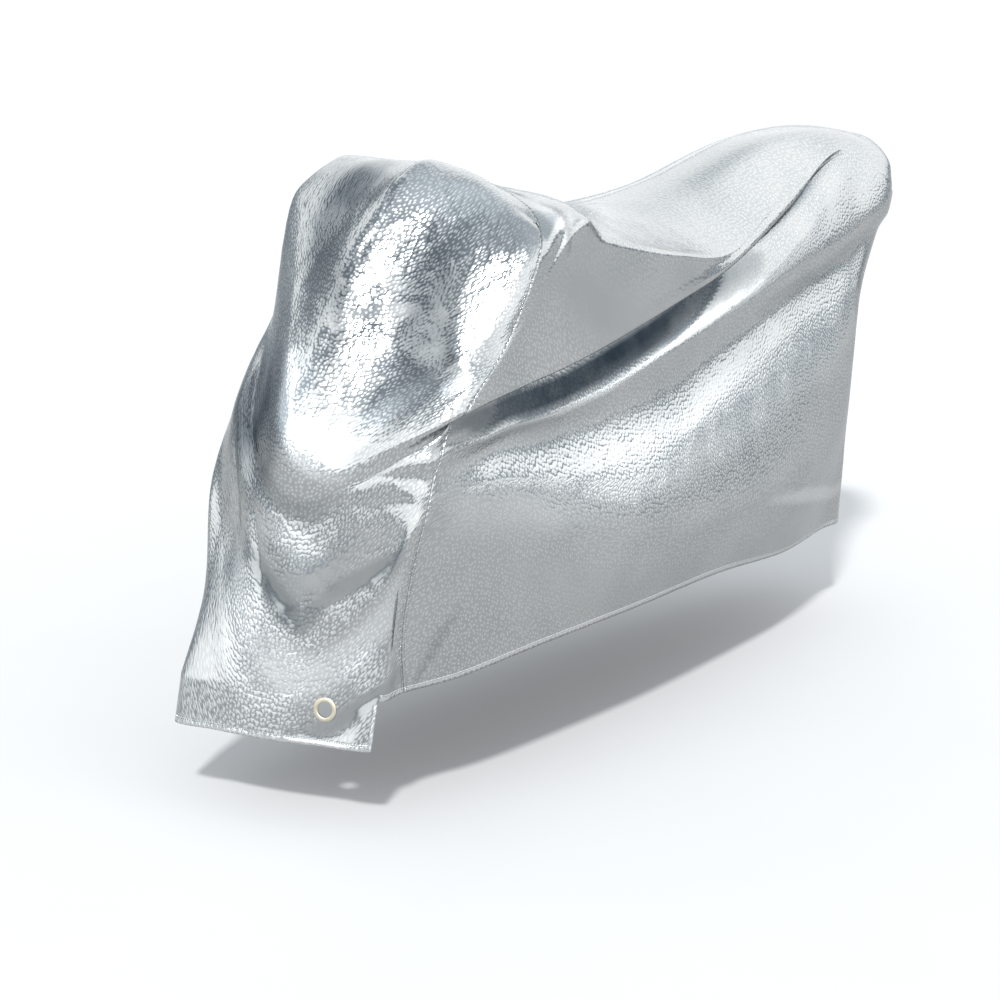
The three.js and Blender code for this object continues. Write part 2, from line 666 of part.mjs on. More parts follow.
// One closed shell of cloth thickness for the cells of one piece.
function clothShell(piece) {
  const triangles = cells.filter((cell) => cell.piece === piece).flatMap((cell) => trianglesOf(cell.corners));
  const borders = borderEdges(triangles);
  const shifts = borderShifts(borders);
  const positions = [];
  const order = new Map();
  [...new Set(triangles.flat())].forEach((index, place) => {
    const point = pointOf(index).clone().add(shifts.get(index) ?? new THREE.Vector3());
    const half = normals.get(index).clone().multiplyScalar(CLOTH_THICKNESS / 2);
    positions.push(...point.clone().add(half).toArray(), ...point.clone().sub(half).toArray());
    order.set(index, place);
  });
  const outer = (index) => 2 * order.get(index);
  const inner = (index) => 2 * order.get(index) + 1;
  const faces = [];
  triangles.forEach(([a, b, c]) => {
    faces.push(outer(a), outer(b), outer(c));
    faces.push(inner(a), inner(c), inner(b));
  });
  // Neighbouring pieces split their facing edges along the same diagonal.
  borders.forEach(([from, to]) => {
    if (from < to) {
      faces.push(outer(to), outer(from), inner(to));
      faces.push(outer(from), inner(from), inner(to));
    } else {
      faces.push(outer(to), outer(from), inner(from));
      faces.push(outer(to), inner(from), inner(to));
    }
  });
  const geometry = new THREE.BufferGeometry();
  geometry.setAttribute('position', new THREE.BufferAttribute(new Float32Array(positions), 3));
  geometry.setIndex(faces);
  return geometry;
}

function toSolid(geometry) {
  const bare = geometry.clone();
  bare.deleteAttribute('normal');
  bare.deleteAttribute('uv');
  const merged = BufferGeometryUtils.mergeVertices(bare);
  const mesh = new wasm.Mesh({
    numProp: 3,
    vertProperties: new Float32Array(merged.attributes.position.array),
    triVerts: new Uint32Array(merged.index.array),
  });
  return new wasm.Manifold(mesh);
}

function fromSolid(solid) {
  const mesh = solid.getMesh();
  const geometry = new THREE.BufferGeometry();
  geometry.setAttribute('position', new THREE.BufferAttribute(new Float32Array(mesh.vertProperties), 3));
  geometry.setIndex([...mesh.triVerts]);
  return geometry;
}

function turnedTo(geometry, { centre, normal }) {
  const turn = new THREE.Quaternion().setFromUnitVectors(new THREE.Vector3(0, 1, 0), normal);
  return geometry.clone().applyQuaternion(turn).translate(centre.x, centre.y, centre.z);
}

// The front strip with the eyelet hole cut through.
function frontHemStrip() {
  const holeRadius = EYELET_HOLE_RADIUS + EYELET_BARREL_WALL + PIECE_GAP;
  const cutter = new THREE.CylinderGeometry(holeRadius, holeRadius, 8 * CLOTH_THICKNESS, EYELET_SIDES);
  const strip = toSolid(clothShell('front_hem_strip'));
  return fromSolid(strip.subtract(toSolid(turnedTo(cutter, eyelet))));
}

// A pressed metal eyelet: a barrel through the cloth, with a rolled flange on each face.
function eyeletRing(place) {
  const barrel = EYELET_HOLE_RADIUS + EYELET_BARREL_WALL;
  const clothFace = CLOTH_THICKNESS / 2 + PIECE_GAP;
  const rim = clothFace + EYELET_FLANGE_THICKNESS;
  const profile = [
    [EYELET_HOLE_RADIUS, -rim],
    [EYELET_FLANGE_RADIUS - 1.5, -rim],
    [EYELET_FLANGE_RADIUS - 0.5, -clothFace],
    [barrel, -clothFace],
    [barrel, clothFace],
    [EYELET_FLANGE_RADIUS, clothFace],
    [EYELET_FLANGE_RADIUS - 1, rim - 0.3],
    [EYELET_HOLE_RADIUS + 3, rim + 0.8],
    [EYELET_HOLE_RADIUS + 0.6, rim + 0.3],
    [EYELET_HOLE_RADIUS, rim - 0.6],
    [EYELET_HOLE_RADIUS, -rim],
  ];
  const points = profile.map(([radius, height]) => new THREE.Vector2(radius, height));
  return turnedTo(new THREE.LatheGeometry(points, EYELET_SIDES), place);
}

function clothMaterial() {
  return new THREE.MeshStandardMaterial(silver);
}

function addPiece(group, name, geometry, material) {
  const mesh = new THREE.Mesh(geometry, material);
  mesh.name = name;
  group.add(mesh);
}

const cover = new THREE.Group();
cover.position.set(-ORIGIN.x, -ORIGIN.y, -ORIGIN.z);
addPiece(cover, 'front_panel', clothShell('front_panel'), clothMaterial());
addPiece(cover, 'rear_panel', clothShell('rear_panel'), clothMaterial());
addPiece(cover, 'front_hem_strip', frontHemStrip(), clothMaterial());
addPiece(cover, 'eyelet_left', eyeletRing(eyelet), new THREE.MeshStandardMaterial(brass));

export default cover;
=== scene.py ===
"""Looks of a fitted silver film-cloth cover, hollow and open below.

The cloth panels follow the same ribs and folds as the solids, on a finer mesh, with the small
creases, hems, seam and embossing that the solids leave out. Sizes in the tables are millimetres
above the ground, as a maker would measure them, and the meshes are in metres in the part's frame.
"""

import math
from collections import namedtuple

import bpy
import numpy as np
from mathutils import Matrix, Vector, noise


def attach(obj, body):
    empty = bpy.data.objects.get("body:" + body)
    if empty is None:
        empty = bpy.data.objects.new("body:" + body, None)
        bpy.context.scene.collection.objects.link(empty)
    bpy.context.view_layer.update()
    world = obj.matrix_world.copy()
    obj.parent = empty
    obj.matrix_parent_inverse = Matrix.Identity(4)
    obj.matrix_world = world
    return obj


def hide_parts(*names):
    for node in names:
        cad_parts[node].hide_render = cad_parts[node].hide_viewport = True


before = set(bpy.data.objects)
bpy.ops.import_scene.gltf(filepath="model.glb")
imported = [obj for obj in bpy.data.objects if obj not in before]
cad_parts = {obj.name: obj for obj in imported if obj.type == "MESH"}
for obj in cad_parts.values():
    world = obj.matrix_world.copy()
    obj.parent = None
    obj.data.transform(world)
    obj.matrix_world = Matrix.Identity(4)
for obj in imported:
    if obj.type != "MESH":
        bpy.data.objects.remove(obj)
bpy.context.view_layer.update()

MM = 0.001
ORIGIN = np.array([0.0, 1600.0, 1147.0])
TINY = 1e-9
FAR = 1000

# Cloth
CLOTH_THICKNESS = 1.0
PIECE_GAP = 0.3

# Around the cover, a station is the distance from the middle of the front, along the left side.
# A negative station lies on the right side.
SEAM_STATION = 330.0
FLAP_STATION = 215.0
FLAP_DROP = 88.0
FLAP_LEAN = 20.0
STRIP_ABOVE_HEM = 48.0

# Eyelet
EYELET_STATION = 105.0
EYELET_BELOW_HEM = 22.0
EYELET_HOLE_RADIUS = 14.0
EYELET_BARREL_WALL = 1.5
HOLE_CLEARANCE = 2.0
FLAT_RADIUS = 50.0
FLAT_FADE_RADIUS = 80.0
FACING_REACH = 35.0

LEVELS = ["top", "crown", "chest", "edge", "lip", "belly", "skirt", "hem"]
EDGE_LEVEL = 3
LIP_LEVEL = 4
HEM_LEVEL = 7

# One row for each rib of the left side, from the middle of the front to the middle of the rear.
Rib = namedtuple("Rib", ["name", "station"] + LEVELS)
RIBS = [
    Rib("front middle", 0, (0, 300, 1158), (0, 240, 1135), (0, 112, 1010), (0, 24, 850),
        (0, -66, 680), (0, -98, 500), (0, -122, 340), (0, -136, 238)),
    Rib("front quarter", 100, (0, 330, 1160), (50, 280, 1138), (115, 172, 1010), (117, 48, 820),
        (106, -48, 662), (103, -82, 490), (104, -108, 340), (104, -130, 238)),
    Rib("front corner", 215, (0, 375, 1147), (115, 325, 1131), (235, 230, 1030), (240, 80, 820),
        (216, -18, 705), (206, -52, 500), (202, -80, 340), (200, -118, 238)),
    Rib("seam", 330, (0, 430, 1121), (165, 365, 1102), (292, 288, 1045), (303, 170, 870),
        (292, 53, 752), (258, -25, 570), (228, -70, 360), (205, -54, 240)),
    Rib("bar end", 480, (0, 505, 1095), (170, 455, 1094), (262, 412, 1079), (294, 392, 1052),
        (290, 227, 774), (266, 140, 560), (256, 105, 360), (236, 95, 244)),
    Rib("behind the bar", 680, (0, 610, 1064), (98, 605, 1060), (185, 570, 1046), (268, 517, 1018),
        (280, 450, 800), (270, 370, 560), (274, 345, 362), (256, 335, 256)),
    Rib("saddle", 1000, (0, 790, 1040), (88, 790, 1032), (172, 786, 1004), (250, 785, 958),
        (258, 758, 854), (271, 690, 580), (284, 660, 368), (264, 640, 260)),
    Rib("seat", 1310, (0, 1050, 1069), (78, 1050, 1059), (140, 1052, 1012), (210, 1062, 932),
        (219, 1046, 904), (245, 985, 590), (268, 975, 370), (246, 970, 255)),
    Rib("rear seat", 1650, (0, 1370, 1138), (76, 1367, 1128), (112, 1366, 1080), (142, 1370, 1028),
        (156, 1366, 990), (222, 1325, 600), (240, 1310, 360), (205, 1305, 222)),
    Rib("rear hump", 1920, (0, 1660, 1152), (60, 1660, 1145), (85, 1660, 1134), (103, 1660, 1119),
        (118, 1658, 1103), (205, 1570, 640), (185, 1565, 360), (150, 1565, 212)),
    Rib("rear corner", 2060, (0, 1860, 1126), (50, 1880, 1118), (85, 1890, 1096), (115, 1890, 1064),
        (140, 1868, 1012), (160, 1640, 690), (150, 1662, 360), (125, 1700, 206)),
    Rib("rear middle", 2230, (0, 1930, 1118), (0, 1968, 1103), (0, 1990, 1076), (0, 2003, 1040),
        (0, 1995, 980), (0, 1810, 680), (0, 1790, 360), (0, 1800, 202)),
]

# How sharply a rib of the left side turns at its edge level, from 0 for round to 1 for a crease.
EDGE_CREASE = {"bar end": 0.8, "behind the bar": 1.0, "saddle": 1.0, "seat": 1.0, "rear seat": 0.4}

# The right side is the left side's mirror image, a little narrower, with these points moved.
RIGHT_WIDTH_SHARE = 0.98
Change = namedtuple("Change", "rib level move")
RIGHT_CHANGES = [
    Change("front quarter", "chest", (-15, 10, 20)),
    Change("front corner", "crown", (-66, -5, 16)),
    Change("front corner", "chest", (-46, 34, 56)),
    Change("front corner", "edge", (15, 40, 30)),
    Change("front corner", "lip", (19, 12, 0)),
    Change("front corner", "belly", (12, 6, 0)),
    Change("seam", "crown", (-114, 8, 42)),
    Change("seam", "chest", (-26, 40, 50)),
    Change("seam", "edge", (20, 60, 40)),
    Change("seam", "lip", (22, 62, 0)),
    Change("seam", "belly", (5, 25, 0)),
    Change("seam", "skirt", (5, 60, 0)),
    Change("seam", "hem", (0, 40, 0)),
    Change("bar end", "crown", (-40, 0, 15)),
    Change("bar end", "chest", (-55, -4, -27)),
    Change("bar end", "edge", (0, -62, -112)),
    Change("seat", "crown", (12, 0, -6)),
    Change("rear seat", "crown", (12, 0, -10)),
]

# The front hangs askew: its right corner is further forward than its left one.
FRONT_SKEW = 0.26
SKEW_BY_RIB = (3, 5)
SKEW_BY_LEVEL = [0, 0, 0, 0.117, 0.233, 0.35, 0.675, 1]

# The main fold: the upper cloth hangs over the lower cloth along the lip level of the left side.
FoldRow = namedtuple("FoldRow", "flat down out")
LIP_FOLD = [
    FoldRow(-30, -30, 0), FoldRow(-14, -14, 1), FoldRow(-5, -5, 1), FoldRow(4, 1, -4),
    FoldRow(13, -3, -12), FoldRow(22, -9, -22), FoldRow(31, -14, -34), FoldRow(40, -8, -44),
    FoldRow(50, 6, -46),
]
LIP_FOLD_START = (95, 480)
LIP_FOLD_END = (1600, 1960)
LEAST_DROP_ABOVE_FOLD = 20
LEAST_GAP_ABOVE_FOLD = 2
LEAST_GAP_BELOW_FOLD = 1

# The lines of the left side below the lip, from rib to rib: the drop of each line, and how far
# the cloth stands out there. Between the lines the cloth runs nearly straight.
SideFolds = namedtuple(
    "SideFolds", "rib dark_foot crest grey_top grey_foot band_foot dots_foot dune_foot")
SIDE_FOLDS = [
    SideFolds("front quarter", (720, 0), (735, 0), (745, 0), (770, 0), (810, 0), (860, 0), (920, 0)),
    SideFolds("front corner", (748, -8), (770, 0), (778, 0), (800, -2), (850, 0), (900, 0), (960, 0)),
    SideFolds("seam", (785, -22), (800, -14), (806, -14), (830, -16), (870, -2), (900, 0), (960, 0)),
    SideFolds("bar end", (727, -26), (736, -21), (740, -22), (768, -34), (826, -8), (880, 2), (930, 0)),
    SideFolds("behind the bar", (622, -26), (631, -22), (634, -23), (672, -38), (758, -6), (830, 6),
              (880, 0)),
    SideFolds("saddle", (490, -31), (501, -26), (504, -26), (562, -40), (700, 0), (800, 10), (860, 0)),
    SideFolds("seat", (405, -38), (440, -24), (444, -24), (500, -36), (585, -8), (809, 10), (840, 0)),
    SideFolds("rear seat", (270, -10), (365, 8), (403, 10), (452, -6), (512, 4), (780, 14), (870, 0)),
    SideFolds("rear hump", (150, -4), (235, 14), (365, 18), (411, 4), (476, 10), (757, 8), (900, 0)),
    SideFolds("rear corner", (215, 0), (240, 4), (325, 12), (365, 0), (440, 6), (700, 0), (900, 0)),
    SideFolds("rear middle", (190, 0), (230, 0), (300, 0), (350, 0), (430, 0), (690, 0), (880, 0)),
]
SIDE_ROUNDS = [8, 5, 8, 14, 25, 25, 30]
FOLD_FOOT = 6

# The other main folds, in station and drop, the mm of cloth below the top line. height is mm out
# (a ridge) or in (a trough), fading over the widths above and below the path.
Fold = namedtuple("Fold", "name path height above below round")
FOLDS = [
    Fold("front hollow", [(22, 190), (58, 290), (85, 390), (130, 470), (200, 570)], -26, 90, 50, 10),
    Fold("grip crest", [(150, 240), (178, 330), (178, 420), (215, 540), (290, 632)], 16, 45, 70, 8),
    Fold("bulge edge", [(-130, 380), (-75, 470), (-20, 540), (20, 600), (60, 650), (118, 705)],
         16, 60, 90, 8),
    Fold("under the bulge", [(-230, 640), (-100, 700), (60, 750), (118, 735)], -13, 60, 60, 24),
    Fold("skirt facet", [(-75, 790), (-40, 850), (10, 900), (52, 960)], -4, 60, 30, 6),
    Fold("second skirt facet", [(70, 912), (155, 925), (192, 930), (260, 945)], -4, 50, 25, 6),
    Fold("seam side crease", [(330, 905), (230, 960), (120, 985)], 8, 30, 60, 8),
    Fold("right skirt trough", [(-180, 800), (-150, 900), (-190, 1050)], -10, 40, 40, 14),
    Fold("flap fold", [(40, 1146), (100, 1152), (150, 1160), (215, 1180)], -4, 18, 14, 3),
    Fold("left skirt crease", [(-95, 760), (-70, 820), (-45, 880), (-32, 920)], -5, 18, 30, 4),
    Fold("upper fan crease", [(118, 712), (200, 775), (300, 840), (335, 858)], -5, 22, 18, 3),
    Fold("lower fan crease", [(112, 745), (190, 815), (300, 880), (335, 895)], -4, 20, 20, 3),
    Fold("hood crease", [(16, 198), (6, 230), (10, 264)], -4, 12, 12, 3),
    Fold("low hood crease", [(-8, 372), (4, 405), (8, 446)], -4, 12, 12, 3),
    Fold("bar end crease", [(285, 245), (330, 300), (362, 385)], -6, 14, 20, 3),
    Fold("bar end fan", [(262, 300), (310, 330), (345, 350)], -5, 12, 16, 3),
    Fold("right upper trough", [(-350, 500), (-800, 520), (-1300, 470), (-1800, 380)], -14, 60, 60, 25),
    Fold("right middle band", [(-330, 700), (-900, 650), (-1500, 600)], 14, 80, 110, 30),
    Fold("right lower trough", [(-500, 950), (-1100, 760), (-1700, 640)], -10, 60, 60, 25),
]
FOLD_FADE_BELOW_TOP = 60
FOLD_REACH_IN_WIDTHS = 6
PATH_END_MARGIN = 0.05
STEPS_PER_SPAN = 6

RIB_STATIONS = np.array([rib.station for rib in RIBS], float)
LAST_STATION = RIB_STATIONS[-1]
RIB_COUNT = 2 * len(RIBS) - 2
RIB_STEP = 0.05
SAMPLES_PER_LEVEL = 20


def smooth_step(low, high, value):
    t = np.clip((value - low) / (high - low), 0, 1)
    return t * t * (3 - 2 * t)


def curve_weights(t):
    """Weights of four neighbouring points on a curve that passes through all its points."""
    return [(2 * t**2 - t**3 - t) / 2, (3 * t**3 - 5 * t**2 + 2) / 2,
            (4 * t**2 - 3 * t**3 + t) / 2, (t**3 - t**2) / 2]


def curve_through(points, steps):
    """A fine line through the points, as an array of rows."""
    points = np.array(points, float)
    run = np.vstack([2 * points[0] - points[1], points, 2 * points[-1] - points[-2]])
    line = []
    for span in range(len(points) - 1):
        for t in np.arange(steps) / steps:
            line.append(sum(w * run[span + k] for k, w in enumerate(curve_weights(t))))
    return np.array(line + [points[-1]])


def rib_grid():
    """All ribs round the cover: the left side, then the right side back to the front."""
    left = np.array([[getattr(rib, level) for level in LEVELS] for rib in RIBS], float)
    right = left[1:-1].copy()
    right[:, :, 0] *= -RIGHT_WIDTH_SHARE
    names = [rib.name for rib in RIBS[1:-1]]
    for change in RIGHT_CHANGES:
        right[names.index(change.rib), LEVELS.index(change.level)] += change.move
    grid = np.concatenate([left, right[::-1]])
    index = np.arange(len(grid))
    from_front = np.minimum(index, len(grid) - index)
    share = np.interp(from_front, SKEW_BY_RIB, (1, 0))
    grid[:, :, 1] += FRONT_SKEW * grid[:, :, 0] * share[:, None] * np.array(SKEW_BY_LEVEL)
    return grid


def rib_slopes(grid):
    """The direction of each rib as it comes down to each of its points, and as it goes on."""
    before = 2 * grid[:, 0] - grid[:, 1]
    before[:, 2] = grid[:, 1, 2]
    after = 2 * grid[:, -1] - grid[:, -2]
    run = np.concatenate([before[:, None], grid, after[:, None]], 1)
    steps = np.diff(run, axis=1)
    lengths = np.linalg.norm(steps, axis=-1, keepdims=True)
    total = lengths[:, :-1] + lengths[:, 1:]
    slopes = 2 * (lengths[:, 1:]**2 * steps[:, :-1] + lengths[:, :-1]**2 * steps[:, 1:]) / total**2
    coming, going = slopes, slopes.copy()
    for index, rib in enumerate(RIBS):
        crease = EDGE_CREASE.get(rib.name, 0)
        coming[index, EDGE_LEVEL] += crease * (steps[index, EDGE_LEVEL] - coming[index, EDGE_LEVEL])
        going[index, EDGE_LEVEL] += crease * (steps[index, EDGE_LEVEL + 1] - going[index, EDGE_LEVEL])
    return coming, going


RIB_POINTS = rib_grid()
SLOPES_COMING, SLOPES_GOING = rib_slopes(RIB_POINTS)


def base_point(rib, level):
    rib, level = np.broadcast_arrays(np.asarray(rib, float), np.asarray(level, float))
    first = np.floor(rib).astype(int)
    upper = np.clip(np.floor(level).astype(int), 0, HEM_LEVEL - 1)
    t = np.clip(level, 0, HEM_LEVEL) - upper
    shares = [2 * t**3 - 3 * t**2 + 1, t**3 - 2 * t**2 + t, 3 * t**2 - 2 * t**3, t**3 - t**2]
    point = np.zeros(rib.shape + (3,))
    for k, weight in enumerate(curve_weights(rib - first)):
        near = (first + k - 1) % RIB_COUNT
        point += (weight * shares[0])[..., None] * RIB_POINTS[near, upper]
        point += (weight * shares[1])[..., None] * SLOPES_GOING[near, upper]
        point += (weight * shares[2])[..., None] * RIB_POINTS[near, upper + 1]
        point += (weight * shares[3])[..., None] * SLOPES_COMING[near, upper + 1]
    return point


def unit(vectors):
    return vectors / np.maximum(np.linalg.norm(vectors, axis=-1, keepdims=True), TINY)


def base_normal(rib, level):
    around = base_point(rib + RIB_STEP, level) - base_point(rib - RIB_STEP, level)
    down = base_point(rib, level + RIB_STEP) - base_point(rib, level - RIB_STEP)
    return unit(np.cross(down, around))


def rib_at_station(station):
    rib = np.interp(np.abs(station), RIB_STATIONS, np.arange(len(RIBS)))
    return np.where(station >= 0, rib, RIB_COUNT - rib) % RIB_COUNT


def level_drops(rib):
    """Cloth distance from the top line to each level, one row for each rib coordinate."""
    levels = np.linspace(0, HEM_LEVEL, HEM_LEVEL * SAMPLES_PER_LEVEL + 1)
    points = base_point(rib[:, None], levels[None])
    steps = np.linalg.norm(np.diff(points, axis=1), axis=-1)
    total = np.concatenate([np.zeros((len(rib), 1)), np.cumsum(steps, 1)], 1)
    return total[:, ::SAMPLES_PER_LEVEL]


def level_at_drop(drops, drop):
    level = np.zeros(drop.shape)
    for k in range(HEM_LEVEL):
        low, high = drops[:, k, None], drops[:, k + 1, None]
        level = np.where(drop >= low, k + (drop - low) / (high - low), level)
    return np.clip(level, 0, HEM_LEVEL)


def nearest_on_path(path, station, drop):
    """Distance from a path, whether a point lies below it, and its place along it from 0 to 1."""
    line = curve_through(path, STEPS_PER_SPAN)
    spans = np.linalg.norm(np.diff(line, axis=0), axis=1)
    starts = np.concatenate([[0], np.cumsum(spans)])
    nearest = np.full(station.shape, np.inf)
    below = np.zeros(station.shape, bool)
    along = np.zeros(station.shape)
    for i, span in enumerate(spans):
        dx, dy = line[i + 1] - line[i]
        t = np.clip(((station - line[i, 0]) * dx + (drop - line[i, 1]) * dy) / span**2, 0, 1)
        ex = station - line[i, 0] - t * dx
        ey = drop - line[i, 1] - t * dy
        distance = np.hypot(ex, ey)
        closer = distance < nearest
        nearest = np.where(closer, distance, nearest)
        below = np.where(closer, dx * ey - dy * ex > 0, below)
        along = np.where(closer, starts[i] + t * span, along)
    return nearest, below, along / starts[-1]


def end_fade(along):
    """A fade towards both ends of a path."""
    place = PATH_END_MARGIN + (1 - 2 * PATH_END_MARGIN) * along
    return np.sqrt(np.maximum(np.sin(np.pi * place), 0))


def fold_height(fold, station, drop):
    distance, below, along = nearest_on_path(fold.path, station, drop)
    width = np.where(below, fold.below, fold.above)
    past_round = np.hypot(distance, fold.round) - fold.round
    return fold.height * end_fade(along) * np.exp(-past_round / width)


def near_path(path, reach, station, drop):
    low = np.min(path, 0) - reach
    high = np.max(path, 0) + reach
    return (station > low[0]) & (station < high[0]) & (drop > low[1]) & (drop < high[1])


def all_folds(station, drop):
    height = np.zeros(station.shape)
    for fold in FOLDS:
        reach = FOLD_REACH_IN_WIDTHS * max(fold.above, fold.below) + fold.round
        near = near_path(fold.path, reach, station, drop)
        height[near] += fold_height(fold, station[near], drop[near])
    return height * smooth_step(0, FOLD_FADE_BELOW_TOP, drop)


# A patch of the cloth where something is stronger, or weaker where its height is below 0. It fades
# out over its reach.
Patch = namedtuple("Patch", "station drop station_reach drop_reach height")
PATCH_FALLOFF = 1.5


def patch_total(everywhere, patches, station, drop):
    """What all patches add up to at each place."""
    total = np.full(drop.shape, everywhere)
    for patch in patches:
        across = (station - patch.station) / patch.station_reach
        down = (drop - patch.drop) / patch.drop_reach
        total += patch.height * np.exp(-PATCH_FALLOFF * (across**2 + down**2))
    return total


# How crumpled the cloth is, as the height of its small ridges in mm
CRUMPLE_PATCHES = [
    Patch(40, 330, 230, 240, 5.5), Patch(290, 340, 90, 130, 5.0), Patch(60, 900, 260, 220, 1.6),
    Patch(430, 1000, 130, 150, 1.6),
]
CRUMPLE_EVERYWHERE = 0.5
CRUMPLE_SIZES = [(62.0, 1.0), (27.0, 0.45)]
RIDGE_LEVEL = 0.4
RIDGE_ROUNDING = 0.004


def crumple(points, station, drop):
    """Small sharp ridges of film that has been folded and handled."""
    amount = patch_total(CRUMPLE_EVERYWHERE, CRUMPLE_PATCHES, station, drop)
    height = np.zeros(drop.shape)
    for size, share in CRUMPLE_SIZES:
        values = [noise.noise(Vector(point)) for point in (points.reshape(-1, 3) / size).tolist()]
        values = np.array(values).reshape(drop.shape)
        height += share * (RIDGE_LEVEL - np.sqrt(values**2 + RIDGE_ROUNDING))
    return height * amount


def lip_amount(station):
    return smooth_step(*LIP_FOLD_START, station) * (1 - smooth_step(*LIP_FOLD_END, station))


def side_lines(station, drops):
    """Drop and outward shift of each side line at each station, with the fold's foot and the hem."""
    names = [rib.name for rib in RIBS]
    first = names.index(SIDE_FOLDS[0].rib)
    table = np.array([row[1:] for row in SIDE_FOLDS], float)
    run = np.concatenate([table[:1], table, table[-1:]])
    place = np.clip(rib_at_station(np.abs(station)) - first, 0, len(table) - 1)
    start = np.minimum(np.floor(place).astype(int), len(table) - 2)
    weights = curve_weights(place - start)
    lines = sum(w[:, None, None] * run[start + k] for k, w in enumerate(weights))
    foot = drops[:, LIP_LEVEL] + FOLD_FOOT
    left = (station > RIBS[first].station).astype(float)
    fold_end = np.stack([foot, LIP_FOLD[-1].out * lip_amount(station)], -1)
    hem_end = np.stack([drops[:, HEM_LEVEL], np.zeros(len(station))], -1)
    lines = np.concatenate([fold_end[:, None], lines, hem_end[:, None]], 1)
    return lines[:, :, 0], lines[:, :, 1] * left[:, None]


def side_out(station, drops, drop):
    """How far the left side stands out at each drop below the main fold."""
    at, out = side_lines(station, drops)
    leans = np.diff(out, axis=1) / np.maximum(np.diff(at, axis=1), LEAST_GAP_BELOW_FOLD)
    height = out[:, :1] + leans[:, :1] * (drop - at[:, :1])
    for k, rounding in enumerate(SIDE_ROUNDS):
        past = drop - at[:, k + 1, None]
        turn = leans[:, k + 1] - leans[:, k]
        height = height + turn[:, None] * (past + np.hypot(past, rounding)) / 2
    return height


Counts = namedtuple("Counts", "above_lip lip_steps below_lip strip flap")


def spread(knots, counts):
    """Rows between the knots: each span's rows end on its lower knot."""
    rows = [knots[k] + (knots[k + 1] - knots[k]) * np.arange(1, count + 1) / count
            for k, count in enumerate(counts)]
    return np.concatenate(rows, 1)


def column_rows(station, drops, counts):
    """Drop and outward shift of each point of each column, from the top line down."""
    edge, lip, hem = (drops[:, level, None] for level in (EDGE_LEVEL, LIP_LEVEL, HEM_LEVEL))
    amount = lip_amount(station)[:, None]
    profile = curve_through(LIP_FOLD, counts.lip_steps)
    start = np.maximum(lip + profile[0, 0], LEAST_DROP_ABOVE_FOLD)
    above = spread([0 * lip, np.minimum(edge, start - LEAST_GAP_ABOVE_FOLD), start], counts.above_lip)
    down = profile[:, 0] + (profile[:, 1] - profile[:, 0]) * amount
    squeeze = np.where(down < 0, (lip - start) / -profile[0, 0], 1)
    fold = lip + down * squeeze
    lines = side_lines(station, drops)[0][:, 1:-1]
    strip_top = hem - STRIP_ABOVE_HEM
    knots = [fold[:, -1:]]
    for k in range(lines.shape[1]):
        knots.append(np.maximum(lines[:, k:k + 1], knots[-1] + LEAST_GAP_BELOW_FOLD))
    below = spread(knots + [strip_top], counts.below_lip)
    strip = strip_top + STRIP_ABOVE_HEM * np.arange(1, counts.strip + 1) / counts.strip
    flap = hem + FLAP_DROP * np.arange(1, counts.flap + 1) / max(counts.flap, 1)
    drop = np.concatenate([0 * lip, above[:, :-1], fold, below, strip, flap], 1)
    out = side_out(station, drops, np.minimum(drop, hem))
    fold_row = above.shape[1]
    out[:, :fold_row] = 0
    out[:, fold_row:fold_row + len(profile)] = profile[:, 2] * amount
    return drop, out


def draped(station, drop, out, drops, crumpled=False):
    """Points of the cloth's middle layer."""
    rib = rib_at_station(station)[:, None]
    hem = drops[:, HEM_LEVEL, None]
    level = level_at_drop(drops, np.minimum(drop, hem))
    stations = np.broadcast_to(station[:, None], drop.shape)
    height = out + all_folds(stations, drop)
    point = base_point(rib, level)
    if crumpled:
        height = height + crumple(point, stations, drop)
    point = point + base_normal(rib, level) * height[..., None]
    below_hem = np.maximum(drop - hem, 0)
    point[..., 2] -= below_hem
    point[..., 1] -= FLAP_LEAN * below_hem / FLAP_DROP
    return point


def eyelet_place(station):
    """Where an eyelet sits, and which way it faces."""
    stations = station + np.array([0, FACING_REACH, -FACING_REACH, 0, 0])
    drops = level_drops(rib_at_station(stations))
    below = EYELET_BELOW_HEM + np.array([0, 0, 0, FACING_REACH, -FACING_REACH])
    drop = drops[:, HEM_LEVEL] + below
    points = draped(stations, drop[:, None], np.zeros((len(stations), 1)), drops)[:, 0]
    normal = np.cross(points[3] - points[4], points[1] - points[2])
    return points[0], unit(normal)


EYELET = eyelet_place(EYELET_STATION)


def flatten_at_eyelet(points):
    """The cloth lies flat round the eyelet."""
    centre, normal = EYELET
    offset = points - centre
    height = offset @ normal
    distance = np.linalg.norm(offset - height[..., None] * normal, axis=-1)
    share = 1 - smooth_step(FLAT_RADIUS, FLAT_FADE_RADIUS, distance)
    return points - (height * share)[..., None] * normal


